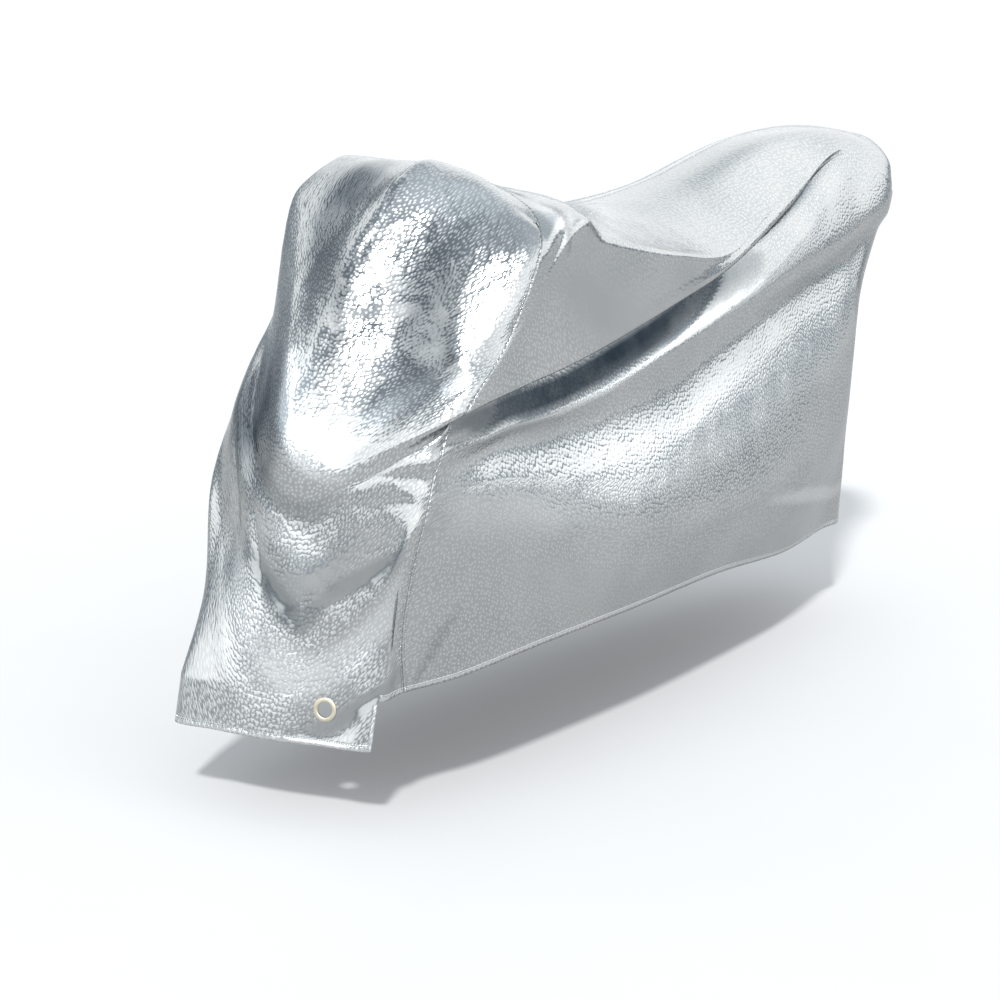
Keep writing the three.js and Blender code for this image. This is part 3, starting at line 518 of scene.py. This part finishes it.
class Cloth:
    """A grid of cloth points: columns by station, rows from the top line down."""

    def __init__(self, stations, counts):
        self.stations = np.array(stations, float)
        drops = level_drops(rib_at_station(self.stations))
        self.drop, out = column_rows(self.stations, drops, counts)
        self.hem_drop = drops[:, HEM_LEVEL]
        self.flap_drop = FLAP_DROP if counts.flap else 0
        hanging = draped(self.stations, self.drop, out, drops, crumpled=True)
        self.points = flatten_at_eyelet(hanging)

    def flat_places(self):
        """Where each point lies on the flat cloth, by the lengths along the rows and columns.

        The third number is how strongly the pebbles stand out there.
        """
        across = np.linalg.norm(np.diff(self.points, axis=0), axis=-1)
        down = np.linalg.norm(np.diff(self.points, axis=1), axis=-1)
        middle = len(self.stations) // 2
        along = np.vstack([np.zeros(across.shape[1]), np.cumsum(across, 0)])
        along -= along[middle]
        below = np.hstack([np.zeros((len(down), 1)), np.cumsum(down, 1)])
        share = emboss_share(self.stations[:, None], self.drop)
        return np.stack([along, below, share], -1)

    def marks(self, places):
        """Each point's distance from the seam and the lower edge, and its painted shade or highlight."""
        along = places[..., 0]
        from_seam = np.minimum(along - along[0], along[-1] - along)
        station = np.broadcast_to(self.stations[:, None], self.drop.shape)
        on_flap = self.drop > self.hem_drop[:, None]
        in_flap = np.abs(station) < FLAP_STATION + 1
        bottom = self.hem_drop[:, None] + np.where(in_flap, self.flap_drop, 0)
        from_side = np.where(on_flap, FLAP_STATION - np.abs(station), FAR)
        from_hem = np.minimum(bottom - self.drop, from_side)
        return np.stack([from_seam, from_hem, shade_share(station, self.drop) / MM], -1)


def quads_of(columns, rows, keep=None):
    """Faces of a grid as rows of four point numbers."""
    column, row = np.meshgrid(np.arange(columns - 1), np.arange(rows - 1), indexing="ij")
    corner = column * rows + row
    quads = np.stack([corner, corner + 1, corner + rows + 1, corner + rows], -1)
    return quads[keep] if keep is not None else quads.reshape(-1, 4)


def share_top_line(quads, columns, rows):
    """Both sides use the same points on the top line."""
    column, row = np.divmod(quads, rows)
    mirrored = np.minimum(column, columns - 1 - column)
    return np.where(row == 0, mirrored * rows, quads)


def quad_directions(points, quads):
    """Across each face, as long as twice its area."""
    corners = points[quads]
    return np.cross(corners[:, 2] - corners[:, 0], corners[:, 3] - corners[:, 1])


def point_normals(points, quads):
    direction = quad_directions(points, quads)
    normals = np.zeros(points.shape)
    for corner in range(4):
        np.add.at(normals, quads[:, corner], direction)
    return unit(normals)


def border_edges(quads):
    """The edges that only one face has, in that face's direction."""
    edges = np.concatenate([quads[:, [i, (i + 1) % 4]] for i in range(4)])
    size = quads.max() + 1
    there = edges[:, 0] * size + edges[:, 1]
    back = edges[:, 1] * size + edges[:, 0]
    return edges[~np.isin(there, back)]


def closed_sheet(name, points, quads, flat, marks):
    """A thin closed sheet on the grid's faces, drawn in a little along its borders."""
    used, quads = np.unique(quads, return_inverse=True)
    quads = quads.reshape(-1, 4)
    points = points[used]
    flat = flat[used]
    marks = marks[used]
    normals = point_normals(points, quads)
    borders = border_edges(quads)
    inward = np.zeros(points.shape)
    for start, end in borders:
        step = np.cross(normals[start], unit(points[end] - points[start]))
        inward[start] += step
        inward[end] += step
    points = points + unit(inward) * (PIECE_GAP / 2)
    count = len(points)
    outer = points + normals * (CLOTH_THICKNESS / 2)
    inner = points - normals * (CLOTH_THICKNESS / 2)
    start, end = borders.T
    rims = np.stack([end, start, start + count, end + count], -1)
    faces = np.concatenate([quads, quads[:, ::-1] + count, rims])
    piece = mesh_piece(name, np.concatenate([outer, inner]), faces)
    add_places(piece, "cloth", np.concatenate([flat, flat]))
    lining = np.array([1, 1, 0]) * marks + np.array([0, 0, LINING_MARK / MM])
    add_places(piece, "marks", np.concatenate([marks, lining]))
    return piece


def mesh_piece(name, points, faces):
    """A new object from points in mm above the ground, with smooth shading."""
    mesh = bpy.data.meshes.new(name)
    mesh.from_pydata(((points - ORIGIN) * MM).tolist(), [], faces.tolist())
    mesh.polygons.foreach_set("use_smooth", [True] * len(mesh.polygons))
    mesh.update()
    piece = bpy.data.objects.new(name, mesh)
    bpy.context.collection.objects.link(piece)
    return piece


def add_places(piece, name, places):
    attribute = piece.data.attributes.new(name, "FLOAT_VECTOR", "POINT")
    attribute.data.foreach_set("vector", (places * MM).ravel())


def sheet_area(points, quads):
    """Area of a grid of cloth in square metres."""
    return np.linalg.norm(quad_directions(points, quads), axis=1).sum() / 2 * MM * MM


class Value:
    """One value in a shader. Sums and products of values add their Math nodes."""

    def __init__(self, shader, socket):
        self.shader = shader
        self.socket = socket

    def _math(self, operation, *values):
        return self.shader.node("ShaderNodeMath", {"operation": operation}, dict(enumerate(values)))

    def __add__(self, other):
        return self._math("ADD", self, other)

    def __sub__(self, other):
        return self._math("SUBTRACT", self, other)

    def __mul__(self, other):
        return self._math("MULTIPLY", self, other)

    def __truediv__(self, other):
        return self._math("DIVIDE", self, other)

    def __radd__(self, other):
        return self._math("ADD", other, self)

    def __rsub__(self, other):
        return self._math("SUBTRACT", other, self)

    def __rmul__(self, other):
        return self._math("MULTIPLY", other, self)

    def __rtruediv__(self, other):
        return self._math("DIVIDE", other, self)

    def __neg__(self):
        return self._math("MULTIPLY", self, -1.0)

    def cosine(self):
        return self._math("COSINE", self)

    def size(self):
        return self._math("ABSOLUTE", self)

    def least(self, other):
        return self._math("MINIMUM", self, other)

    def most(self, other):
        return self._math("MAXIMUM", self, other)

    def eased(self, low, high):
        """0 below low, 1 above high, and a smooth rise between."""
        settings = {"interpolation_type": "SMOOTHSTEP"}
        inputs = {"Value": self, "From Min": low, "From Max": high}
        return self.shader.node("ShaderNodeMapRange", settings, inputs)


class Shader:
    """The node tree of a material or a world, empty at first."""

    def __init__(self, owner):
        owner.use_nodes = True
        self.tree = owner.node_tree
        self.tree.nodes.clear()

    def node(self, kind, settings=None, inputs=None, output=0):
        """A new node: its settings first, then the values or links of its sockets."""
        node = self.tree.nodes.new(kind)
        for name, value in (settings or {}).items():
            setattr(node, name, value)
        for name, value in (inputs or {}).items():
            if isinstance(value, Value):
                self.tree.links.new(value.socket, node.inputs[name])
            else:
                node.inputs[name].default_value = value
        if not node.outputs:
            return None
        return Value(self, node.outputs[output])

    def mix_colour(self, share, first, second):
        inputs = {"Factor": share, 6: first, 7: second}
        return self.node("ShaderNodeMix", {"data_type": "RGBA"}, inputs, output=2)

    def parts(self, vector):
        """The three numbers of a vector."""
        inputs = {"Vector": vector}
        return [self.node("ShaderNodeSeparateXYZ", None, inputs, output=k) for k in range(3)]


# Pebbles pressed into the film, and how strongly they stand out
EMBOSS_PITCH = 8.5 * MM
EMBOSS_HEIGHT = 0.24 * MM
EMBOSS_WOBBLE = 8.0 * MM
EMBOSS_LIMITS = (0.05, 1.3)
EMBOSS_EVERYWHERE = 0.7
EMBOSS_PATCHES = [
    Patch(60, 350, 260, 330, 0.4), Patch(20, 980, 220, 150, 0.3), Patch(900, 700, 700, 110, 0.35),
    Patch(900, 440, 520, 70, -0.6), Patch(560, 690, 260, 60, -0.6), Patch(70, 862, 90, 50, -0.7),
    Patch(700, 380, 330, 150, -0.4), Patch(1100, 320, 240, 60, -0.4), Patch(330, 330, 90, 120, -0.5),
    Patch(250, 560, 90, 60, -0.4), Patch(900, 950, 700, 130, -0.35), Patch(1700, 980, 400, 120, -0.3),
]


def emboss_share(station, drop):
    """How strongly the pebbles stand out: weaker where the cloth is drawn smooth."""
    share = patch_total(EMBOSS_EVERYWHERE, EMBOSS_PATCHES, station, drop)
    return np.clip(share * (1 - smooth_share(station, drop)), *EMBOSS_LIMITS)


# Painted shade in the film's hollows and under its overhangs, where it would mirror dark things, and a
# painted highlight where it is bright, with a share below 0. The shade fades out over the widths above
# and below its path. Where the cloth is drawn smooth, the pebbles fade by the share in the last column.
Shade = namedtuple("Shade", "name path share above below smooth", defaults=[0])
SHADE_CORE = 0.3
# Colours of the painted shade and of the painted highlights.
SHADE_COLOUR = (0.045, 0.06, 0.075, 1)
PAINTED_HIGHLIGHT_COLOUR = (0.85, 0.86, 0.86, 1)
SHADES = [
    Shade("under the main fold",
          [(290, 752), (335, 745), (425, 718), (487, 690), (577, 645), (664, 590), (770, 535), (877, 480),
           (1000, 433), (1133, 398), (1287, 366), (1385, 356), (1480, 345)], 0.95, 30, 62, 0.7),
    Shade("crest below it",
          [(331, 774), (440, 745), (551, 695), (667, 634), (809, 571), (952, 506), (1133, 455),
           (1324, 424), (1500, 402)], -0.7, 10, 14),
    Shade("right of the hood", [(-150, 130), (-120, 200), (-85, 280), (-45, 350)], 0.6, 75, 75),
    Shade("lit strip", [(-28, 470), (-10, 530), (8, 580), (50, 632)], -0.8, 45, 60),
    Shade("lit foot of the hood", [(60, 590), (110, 615), (165, 585)], -0.8, 60, 60),
    Shade("hood streak", [(48, 300), (62, 360), (60, 450)], 0.3, 26, 26),
    Shade("dotted band",
          [(450, 855), (642, 790), (834, 720), (1100, 655), (1300, 618), (1500, 600), (1700, 560),
           (1900, 505)], -0.32, 110, 100),
    Shade("skirt sheen", [(-92, 880), (-90, 990), (-60, 1060), (40, 1050)], -0.28, 80, 70),
    Shade("hood hollow",
          [(60, 190), (95, 250), (120, 320), (135, 400), (160, 480), (205, 570)], 0.55, 55, 55),
    Shade("white facet", [(232, 600), (250, 618), (268, 640)], -0.7, 22, 26),
    Shade("top of the hood", [(-175, 215), (-129, 162), (-82, 119), (-30, 110)], 0.4, 60, 60),
    Shade("crown of the hood", [(60, 95), (120, 150), (170, 185), (225, 215)], -0.25, 60, 60),
    Shade("pale face", [(-25, 240), (5, 290), (28, 360), (36, 440)], 0.42, 55, 45),
    Shade("grip face", [(235, 300), (222, 370), (223, 451), (230, 520), (245, 560)], 0.42, 75, 60),
    Shade("notch at the bar end", [(345, 138), (360, 165), (378, 192)], 0.8, 16, 16),
    Shade("crease behind the bar end", [(398, 240), (425, 290), (452, 335), (476, 385)], 0.5, 14, 14),
    Shade("bar end tongue", [(372, 257), (387, 292), (409, 322), (443, 351)], -0.4, 40, 30),
    # A painted dark reflection on the film.
    Shade("dull patch", [(-128, 590), (-155, 660), (-185, 740), (-215, 830)], 0.6, 70, 55),
    Shade("beside the bulge",
          [(-120, 480), (-95, 560), (-75, 640), (-110, 720), (-150, 780)], 0.55, 75, 60),
    Shade("bulge edge",
          [(-85, 455), (-45, 495), (-15, 560), (25, 625), (70, 665), (110, 690)], -0.5, 30, 30),
    Shade("skirt facet", [(-116, 862), (-48, 862), (8, 897), (44, 940), (57, 925)], 0.3, 34, 34, 0.95),
    Shade("second skirt facet",
          [(60, 930), (100, 903), (137, 907), (194, 930), (266, 955)], 0.25, 26, 30, 0.9),
    Shade("above the facets", [(-61, 775), (2, 780), (38, 810), (60, 850)], -0.3, 50, 40),
    Shade("below the facets",
          [(-100, 930), (-10, 990), (37, 1030), (110, 1050), (168, 1040), (250, 1015)], -0.45, 62, 62),
    Shade("flap band",
          [(320, 1200), (240, 1185), (195, 1172), (137, 1158), (65, 1146)], 0.18, 30, 30, 0.9),
    Shade("under the bulge", [(-60, 700), (20, 735), (90, 735)], 0.3, 30, 40),
    Shade("rear band", [(2001, 392), (1915, 401), (1760, 432), (1635, 446), (1500, 460)], 0.25, 18, 26),
    Shade("rear corner streak", [(2030, 390), (2017, 415), (1968, 454), (1945, 520)], 0.4, 14, 14),
    Shade("rear hem streak", [(1502, 836), (1655, 877), (1998, 960)], -0.35, 20, 26),
    Shade("seam corner fold", [(455, 1060), (420, 1130), (385, 1200), (356, 1240)], 0.3, 10, 16),
]
LINING_MARK = 3.0
LINING_COLOUR = (0.09, 0.09, 0.095, 1)


def shade_fade(shade, station, drop):
    """1 on the path of a shade, down to 0 at its widths."""
    distance, below, along = nearest_on_path(shade.path, station, drop)
    reach = np.where(below, shade.below, shade.above)
    return end_fade(along) * (1 - smooth_step(SHADE_CORE * reach, reach, distance))


def smooth_share(station, drop):
    """How far the pebbles are drawn smooth, from 0 to 1."""
    station, drop = np.broadcast_arrays(station, drop)
    total = np.zeros(drop.shape)
    for shade in SHADES:
        if shade.smooth:
            near = near_path(shade.path, max(shade.above, shade.below), station, drop)
            fade = shade.smooth * shade_fade(shade, station[near], drop[near])
            total[near] = np.maximum(total[near], fade)
    return total


def shade_share(station, drop):
    """How much shade is painted on the film, from 0 to 1, or how much highlight, down to -1."""
    total = np.zeros(station.shape)
    for shade in SHADES:
        near = near_path(shade.path, max(shade.above, shade.below), station, drop)
        total[near] += shade.share * shade_fade(shade, station[near], drop[near])
    return np.clip(total, -1, 1)


# Turned hem, stitches and puckers
HEM_WIDTH = 13.0 * MM
HEM_STEP = 0.8 * MM
HEM_ROUNDING = 1.5 * MM
STITCH_LENGTH = 5.0 * MM
STITCH_WIDTH = 1.0 * MM
STITCH_DEPTH = 0.5 * MM
STITCH_EDGE = (0.5, 1.2)
STITCH_END = (-0.3, 0.2)
HEM_STITCH = 10.0 * MM
SEAM_STITCH = 5.0 * MM
PUCKER_PITCH = 13.0 * MM
PUCKER_REACH = 16.0 * MM
PUCKER_HEIGHT = 0.3 * MM
PUCKER_DRIFT = 9
THREAD_COLOUR = (0.16, 0.16, 0.165, 1)

# Silver film
FILM_COLOUR = (0.35, 0.36, 0.36, 1)
PALE_FILM_COLOUR = (0.39, 0.395, 0.39, 1)
# Pebble tops are painted lighter, a painted highlight where they would catch the light.
PEBBLE_HIGHLIGHT_COLOUR = (0.56, 0.57, 0.565, 1)
PEBBLE_TOP_EDGE = (0.04, 0.46)
FILM_ROUGHNESS = 0.12
PATCH_ROUGHNESS = 0.06
PEBBLE_TOP_ROUGHNESS = 0.28
LINING_ROUGHNESS = 0.85


def stitches(distance, row, along):
    """1 on the stitches of a row at a distance from an edge."""
    across = 1 - ((distance - row) / STITCH_WIDTH).size().eased(*STITCH_EDGE)
    return across * (along * (2 * math.pi / STITCH_LENGTH)).cosine().eased(*STITCH_END)


def puckers(distance, along, uneven):
    """Small waves along an edge, fading out away from it."""
    wave = (along * (2 * math.pi / PUCKER_PITCH) + uneven * PUCKER_DRIFT).cosine()
    return wave * (1 - distance.eased(0, PUCKER_REACH))


def film_cloth():
    """Silver film pressed with uneven pebbles, mirror-like on and between them."""
    # The colour holds painted shade and painted highlights, besides the film's own tone.
    material = bpy.data.materials.new("silver_film_cloth")
    shader = Shader(material)
    place = shader.node("ShaderNodeAttribute", {"attribute_name": "cloth"}, output=1)
    marks = shader.node("ShaderNodeAttribute", {"attribute_name": "marks"}, output=1)
    along, below, strength = shader.parts(place)
    from_seam, from_hem, shade = shader.parts(marks)
    strength = strength * (1 / MM)
    lining = shade.eased(0.5 * LINING_MARK, 0.6 * LINING_MARK)
    wobble_inputs = {"Vector": place, "Scale": 40.0, "Detail": 1.0}
    wobble = shader.node("ShaderNodeTexNoise", None, wobble_inputs, output=1)
    shift_inputs = {0: wobble, "Scale": EMBOSS_WOBBLE}
    shift = shader.node("ShaderNodeVectorMath", {"operation": "SCALE"}, shift_inputs)
    moved = shader.node("ShaderNodeVectorMath", {"operation": "ADD"}, {0: place, 1: shift})
    pebble = shader.node("ShaderNodeTexVoronoi", {"voronoi_dimensions": "2D", "feature": "SMOOTH_F1"}, {
        "Vector": moved, "Scale": 1 / EMBOSS_PITCH, "Smoothness": 0.35, "Randomness": 0.7})
    uneven = shader.node("ShaderNodeTexNoise", None, {"Vector": place, "Scale": 14.0, "Detail": 2.0})
    # pebble is the distance from the middle of a pebble in pitches, up to about a half
    rounded = pebble * pebble * (uneven.eased(0.3, 0.7) * 0.7 + 0.5)
    emboss = rounded * strength * (-4 * EMBOSS_HEIGHT)
    thread = stitches(from_hem, HEM_STITCH, along).most(stitches(from_seam, SEAM_STITCH, below))
    turned = 1 - from_hem.eased(HEM_WIDTH - HEM_ROUNDING, HEM_WIDTH)
    pucker = puckers(from_seam, below, uneven) + puckers(from_hem, along, uneven)
    height = emboss + turned * HEM_STEP + pucker * PUCKER_HEIGHT - thread * STITCH_DEPTH
    bump = shader.node("ShaderNodeBump", None, {"Height": height, "Strength": 1.0, "Distance": 1.0})
    top = (1 - pebble.eased(*PEBBLE_TOP_EDGE)) * strength.least(1.0)
    patch = shader.node("ShaderNodeTexNoise", None, {"Vector": place, "Scale": 6.0, "Detail": 3.0})
    colour = shader.mix_colour(patch.eased(0.35, 0.65), FILM_COLOUR, PALE_FILM_COLOUR)
    # A painted highlight on each pebble top.
    colour = shader.mix_colour(top, colour, PEBBLE_HIGHLIGHT_COLOUR)
    # Painted shade in the hollows and under the overhangs, and painted highlights on the bright bands.
    dark = (shade * (uneven * 0.6 + 0.7)).most(0.0).least(1.0)
    colour = shader.mix_colour(dark, colour, SHADE_COLOUR)
    colour = shader.mix_colour((-shade).most(0.0), colour, PAINTED_HIGHLIGHT_COLOUR)
    # A painted highlight along the turned hem.
    colour = shader.mix_colour(turned * 0.35, colour, PAINTED_HIGHLIGHT_COLOUR)
    colour = shader.mix_colour(thread * 0.7, colour, THREAD_COLOUR)
    colour = shader.mix_colour(lining, colour, LINING_COLOUR)
    rough = FILM_ROUGHNESS + patch * PATCH_ROUGHNESS + top * PEBBLE_TOP_ROUGHNESS
    surface = shader.node("ShaderNodeBsdfPrincipled", None, {
        "Base Color": colour, "Metallic": 1 - lining, "Roughness": rough.most(lining * LINING_ROUGHNESS),
        "Specular Tint": (0.7, 0.7, 0.7, 1), "Normal": bump})
    shader.node("ShaderNodeOutputMaterial", None, {"Surface": surface})
    return material


BRASS_COLOUR = (0.56, 0.52, 0.42, 1)
WORN_BRASS_COLOUR = (0.46, 0.41, 0.31, 1)
FLOOR_COLOUR = (0.455, 0.455, 0.455, 1)
PALE_FLOOR_COLOUR = (0.47, 0.47, 0.47, 1)


def eyelet_brass():
    """Pale pressed brass with fine wear."""
    material = bpy.data.materials.new("pale_eyelet_metal")
    shader = Shader(material)
    place = shader.node("ShaderNodeTexCoord", output=3)
    wear = shader.node("ShaderNodeTexNoise", None, {"Vector": place, "Scale": 260.0, "Detail": 4.0})
    colour = shader.mix_colour(wear.eased(0.4, 0.7), BRASS_COLOUR, WORN_BRASS_COLOUR)
    bump = shader.node("ShaderNodeBump", None, {"Height": wear, "Strength": 0.2, "Distance": 0.0002})
    surface = shader.node("ShaderNodeBsdfPrincipled", None, {
        "Base Color": colour, "Metallic": 0.9, "Roughness": 0.3 + wear * 0.15, "Normal": bump})
    shader.node("ShaderNodeOutputMaterial", None, {"Surface": surface})
    return material


def plain_floor():
    material = bpy.data.materials.new("pale_floor")
    shader = Shader(material)
    place = shader.node("ShaderNodeTexCoord", output=3)
    mottle = shader.node("ShaderNodeTexNoise", None, {"Vector": place, "Scale": 3.0, "Detail": 4.0})
    colour = shader.mix_colour(mottle, FLOOR_COLOUR, PALE_FLOOR_COLOUR)
    surface = shader.node("ShaderNodeBsdfPrincipled", None, {
        "Base Color": colour, "Roughness": 0.9, "Specular IOR Level": 0.0})
    shader.node("ShaderNodeOutputMaterial", None, {"Surface": surface})
    return material


# Sun
SUN_STRENGTH = 3.4
SUN_WIDTH = math.radians(5)
SUN_ELEVATION = math.radians(50)
SUN_AZIMUTH = math.radians(30)

# Sky
LOW_SKY_COLOUR = (2.1, 2.15, 2.2, 1)
HIGH_SKY_COLOUR = (0.9, 1.0, 1.1, 1)
BAND_COLOUR = (0.42, 0.50, 0.57, 1)
WALL_DARKNESS = 0.9

# Dark cards in the sky, where the hollows of the front mirror them. Angles are in degrees.
Card = namedtuple("Card", "azimuth elevation core reach")
CARDS = [Card(-42, 49, 9, 19), Card(-82, 56, 9, 20)]
CARD_DARKNESS = 0.92


def towards(azimuth, elevation):
    """A direction away from the cover. Azimuth 0 is ahead of its front, and 90 degrees on its left."""
    level = math.cos(elevation)
    return Vector((math.sin(azimuth) * level, -math.cos(azimuth) * level, math.sin(elevation)))


def studio_world():
    """A bright soft sky over a dark slate band all round, with a dark wall on the far side."""
    world = bpy.data.worlds.new("studio")
    bpy.context.scene.world = world
    shader = Shader(world)
    direction = shader.node("ShaderNodeTexCoord", output=0)
    x, _, z = shader.parts(direction)
    above_band = z.eased(0.07, 0.11)
    wall = (-x).eased(0.72, 0.88) * (1 - z.eased(0.40, 0.55))
    open_sky = 1.0
    for card in CARDS:
        middle = towards(math.radians(card.azimuth), math.radians(card.elevation))
        nearness = shader.node("ShaderNodeVectorMath", {"operation": "DOT_PRODUCT"}, {
            0: direction, 1: middle}, output=1)
        dark = nearness.eased(math.cos(math.radians(card.reach)), math.cos(math.radians(card.core)))
        open_sky = (1 - dark * CARD_DARKNESS) * open_sky
    sky = shader.mix_colour(z.eased(0.5, 0.95), LOW_SKY_COLOUR, HIGH_SKY_COLOUR)
    lit = above_band * (1 - wall * WALL_DARKNESS) * open_sky
    colour = shader.mix_colour(lit, BAND_COLOUR, sky)
    light = shader.node("ShaderNodeBackground", None, {"Color": colour, "Strength": 1.0})
    shader.node("ShaderNodeOutputWorld", None, {"Surface": light})


def high_sun():
    data = bpy.data.lights.new("sun", "SUN")
    data.energy = SUN_STRENGTH
    data.angle = SUN_WIDTH
    sun = bpy.data.objects.new("sun", data)
    bpy.context.collection.objects.link(sun)
    away = towards(SUN_AZIMUTH, SUN_ELEVATION)
    sun.rotation_euler = away.to_track_quat("Z", "Y").to_euler()


def set_material(piece, material):
    piece.data.materials.clear()
    piece.data.materials.append(material)


# Camera, as in the photograph
VIEW_AZIMUTH = math.radians(38.5)
VIEW_ELEVATION = math.radians(13.9)
FOCAL_PIXELS = 2130.0
PICTURE_PIXELS = 1000.0
SENSOR_WIDTH = 36.0
CLIP_END = 500.0
CAMERA_PLACE = np.array([2609.0, -2745.0, 1500.0])


def place_camera():
    data = bpy.data.cameras.new("camera")
    data.sensor_width = SENSOR_WIDTH
    data.lens = FOCAL_PIXELS * SENSOR_WIDTH / PICTURE_PIXELS
    data.clip_end = CLIP_END
    camera = bpy.data.objects.new("camera", data)
    bpy.context.collection.objects.link(camera)
    back = towards(VIEW_AZIMUTH, VIEW_ELEVATION)
    right = Vector((math.cos(VIEW_AZIMUTH), math.sin(VIEW_AZIMUTH), 0))
    turn = Matrix((right, back.cross(right), back)).transposed().to_4x4()
    turn.translation = Vector((CAMERA_PLACE - ORIGIN) * MM)
    camera.matrix_world = turn
    bpy.context.scene.camera = camera


place_camera()
studio_world()
high_sun()
bpy.context.scene.view_settings.view_transform = "Standard"

film = film_cloth()
brass = eyelet_brass()

# Floor
FLOOR_REACH = 200000.0
floor_points = np.array([[-1, -1], [1, -1], [1, 1], [-1, 1]]) * FLOOR_REACH
floor = mesh_piece("floor", np.c_[floor_points, np.zeros(4)], np.array([[0, 1, 2, 3]]))
set_material(floor, plain_floor())


def panel(name, stations, counts, keep=None):
    """A cloth piece on its grid, with its points and faces for its area."""
    cloth = Cloth(stations, counts)
    columns, rows = cloth.drop.shape
    quads = quads_of(columns, rows, keep(cloth) if keep else None)
    quads = share_top_line(quads, columns, rows)
    points = cloth.points.reshape(-1, 3)
    places = cloth.flat_places()
    marks = cloth.marks(places)
    piece = closed_sheet(name, points, quads, places.reshape(-1, 3), marks.reshape(-1, 3))
    set_material(piece, film)
    return piece, cloth, quads


# Rear cloth
REAR_COUNTS = Counts(
    above_lip=(32, 12), lip_steps=3, below_lip=(5, 4, 5, 8, 9, 7, 5, 11), strip=6, flap=0)
REAR_COLUMNS = 184
left_stations = np.linspace(SEAM_STATION, LAST_STATION, REAR_COLUMNS + 1)
rear_stations = np.concatenate([left_stations, -left_stations[-2::-1]])
rear_panel, rear_cloth, rear_quads = panel("rear_cloth", rear_stations, REAR_COUNTS)

# Front cloth
FRONT_COUNTS = Counts(
    above_lip=(92, 34), lip_steps=3, below_lip=(6, 3, 3, 5, 9, 9, 10, 22), strip=10, flap=18)
FRONT_COLUMNS = 90
FLAP_COLUMNS = round(FRONT_COLUMNS * FLAP_STATION / SEAM_STATION)
front_left = np.unique(np.concatenate([
    np.linspace(0, FLAP_STATION, FLAP_COLUMNS + 1),
    np.linspace(FLAP_STATION, SEAM_STATION, FRONT_COLUMNS - FLAP_COLUMNS + 1)]))
front_stations = np.concatenate([-front_left[:0:-1], front_left])


def front_cells(cloth):
    """The front piece has its flap in the middle only, with the eyelet's hole left out."""
    middle = (cloth.stations[1:] + cloth.stations[:-1]) / 2
    keep = np.ones((len(middle), cloth.drop.shape[1] - 1), bool)
    keep[np.abs(middle) > FLAP_STATION, -FRONT_COUNTS.flap:] = False
    centres = (cloth.points[1:, 1:] + cloth.points[:-1, :-1]) / 2
    hole_radius = EYELET_HOLE_RADIUS + EYELET_BARREL_WALL + HOLE_CLEARANCE
    return keep & (np.linalg.norm(centres - EYELET[0], axis=-1) > hole_radius)


front_panel, front_cloth, front_quads = panel("front_cloth", front_stations, FRONT_COUNTS, front_cells)

# The ring's section: radius, and height above the middle of the cloth
RING_PROFILE = [
    (14.0, -2.0), (20.6, -2.2), (21.8, -1.6), (22.0, -0.9), (15.5, -0.8),
    (15.5, 0.8), (22.4, 0.85), (22.6, 1.3), (21.8, 1.9), (19.5, 2.5), (17.0, 2.9), (15.2, 2.6),
    (14.4, 1.9), (14.0, 0.8),
]
RING_SIDES = 64


def eyelet_ring(name, centre, normal):
    """A pressed ring round the hole, with its flanges on both faces of the cloth."""
    side = unit(np.cross(normal, [0.0, 0.0, 1.0]))
    up = np.cross(side, normal)
    angles = np.arange(RING_SIDES) * 2 * math.pi / RING_SIDES
    rings = []
    for radius, height in RING_PROFILE:
        circle = np.cos(angles)[:, None] * side + np.sin(angles)[:, None] * up
        rings.append(centre + circle * radius + normal * height)
    points = np.stack(rings, 1).reshape(-1, 3)
    count = len(RING_PROFILE)
    column, row = np.meshgrid(np.arange(RING_SIDES), np.arange(count), indexing="ij")
    here = column * count
    beside = (column + 1) % RING_SIDES * count
    step = (row + 1) % count
    faces = np.stack([here + row, here + step, beside + step, beside + row], -1)
    piece = mesh_piece(name, points, faces.reshape(-1, 4))
    set_material(piece, brass)
    return piece


ring = eyelet_ring("eyelet_ring", *EYELET)

for piece, nodes in [
        (rear_panel, ["rear_panel"]),
        (front_panel, ["front_panel", "front_hem_strip"]),
        (ring, ["eyelet_left"])]:
    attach(piece, "root")
    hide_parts(*nodes)

for piece, cloth, quads, flat in [
        (rear_panel, rear_cloth, rear_quads, (3.8, 1.2)),
        (front_panel, front_cloth, front_quads, (0.9, 1.25))]:
    area = sheet_area(cloth.points.reshape(-1, 3), quads)
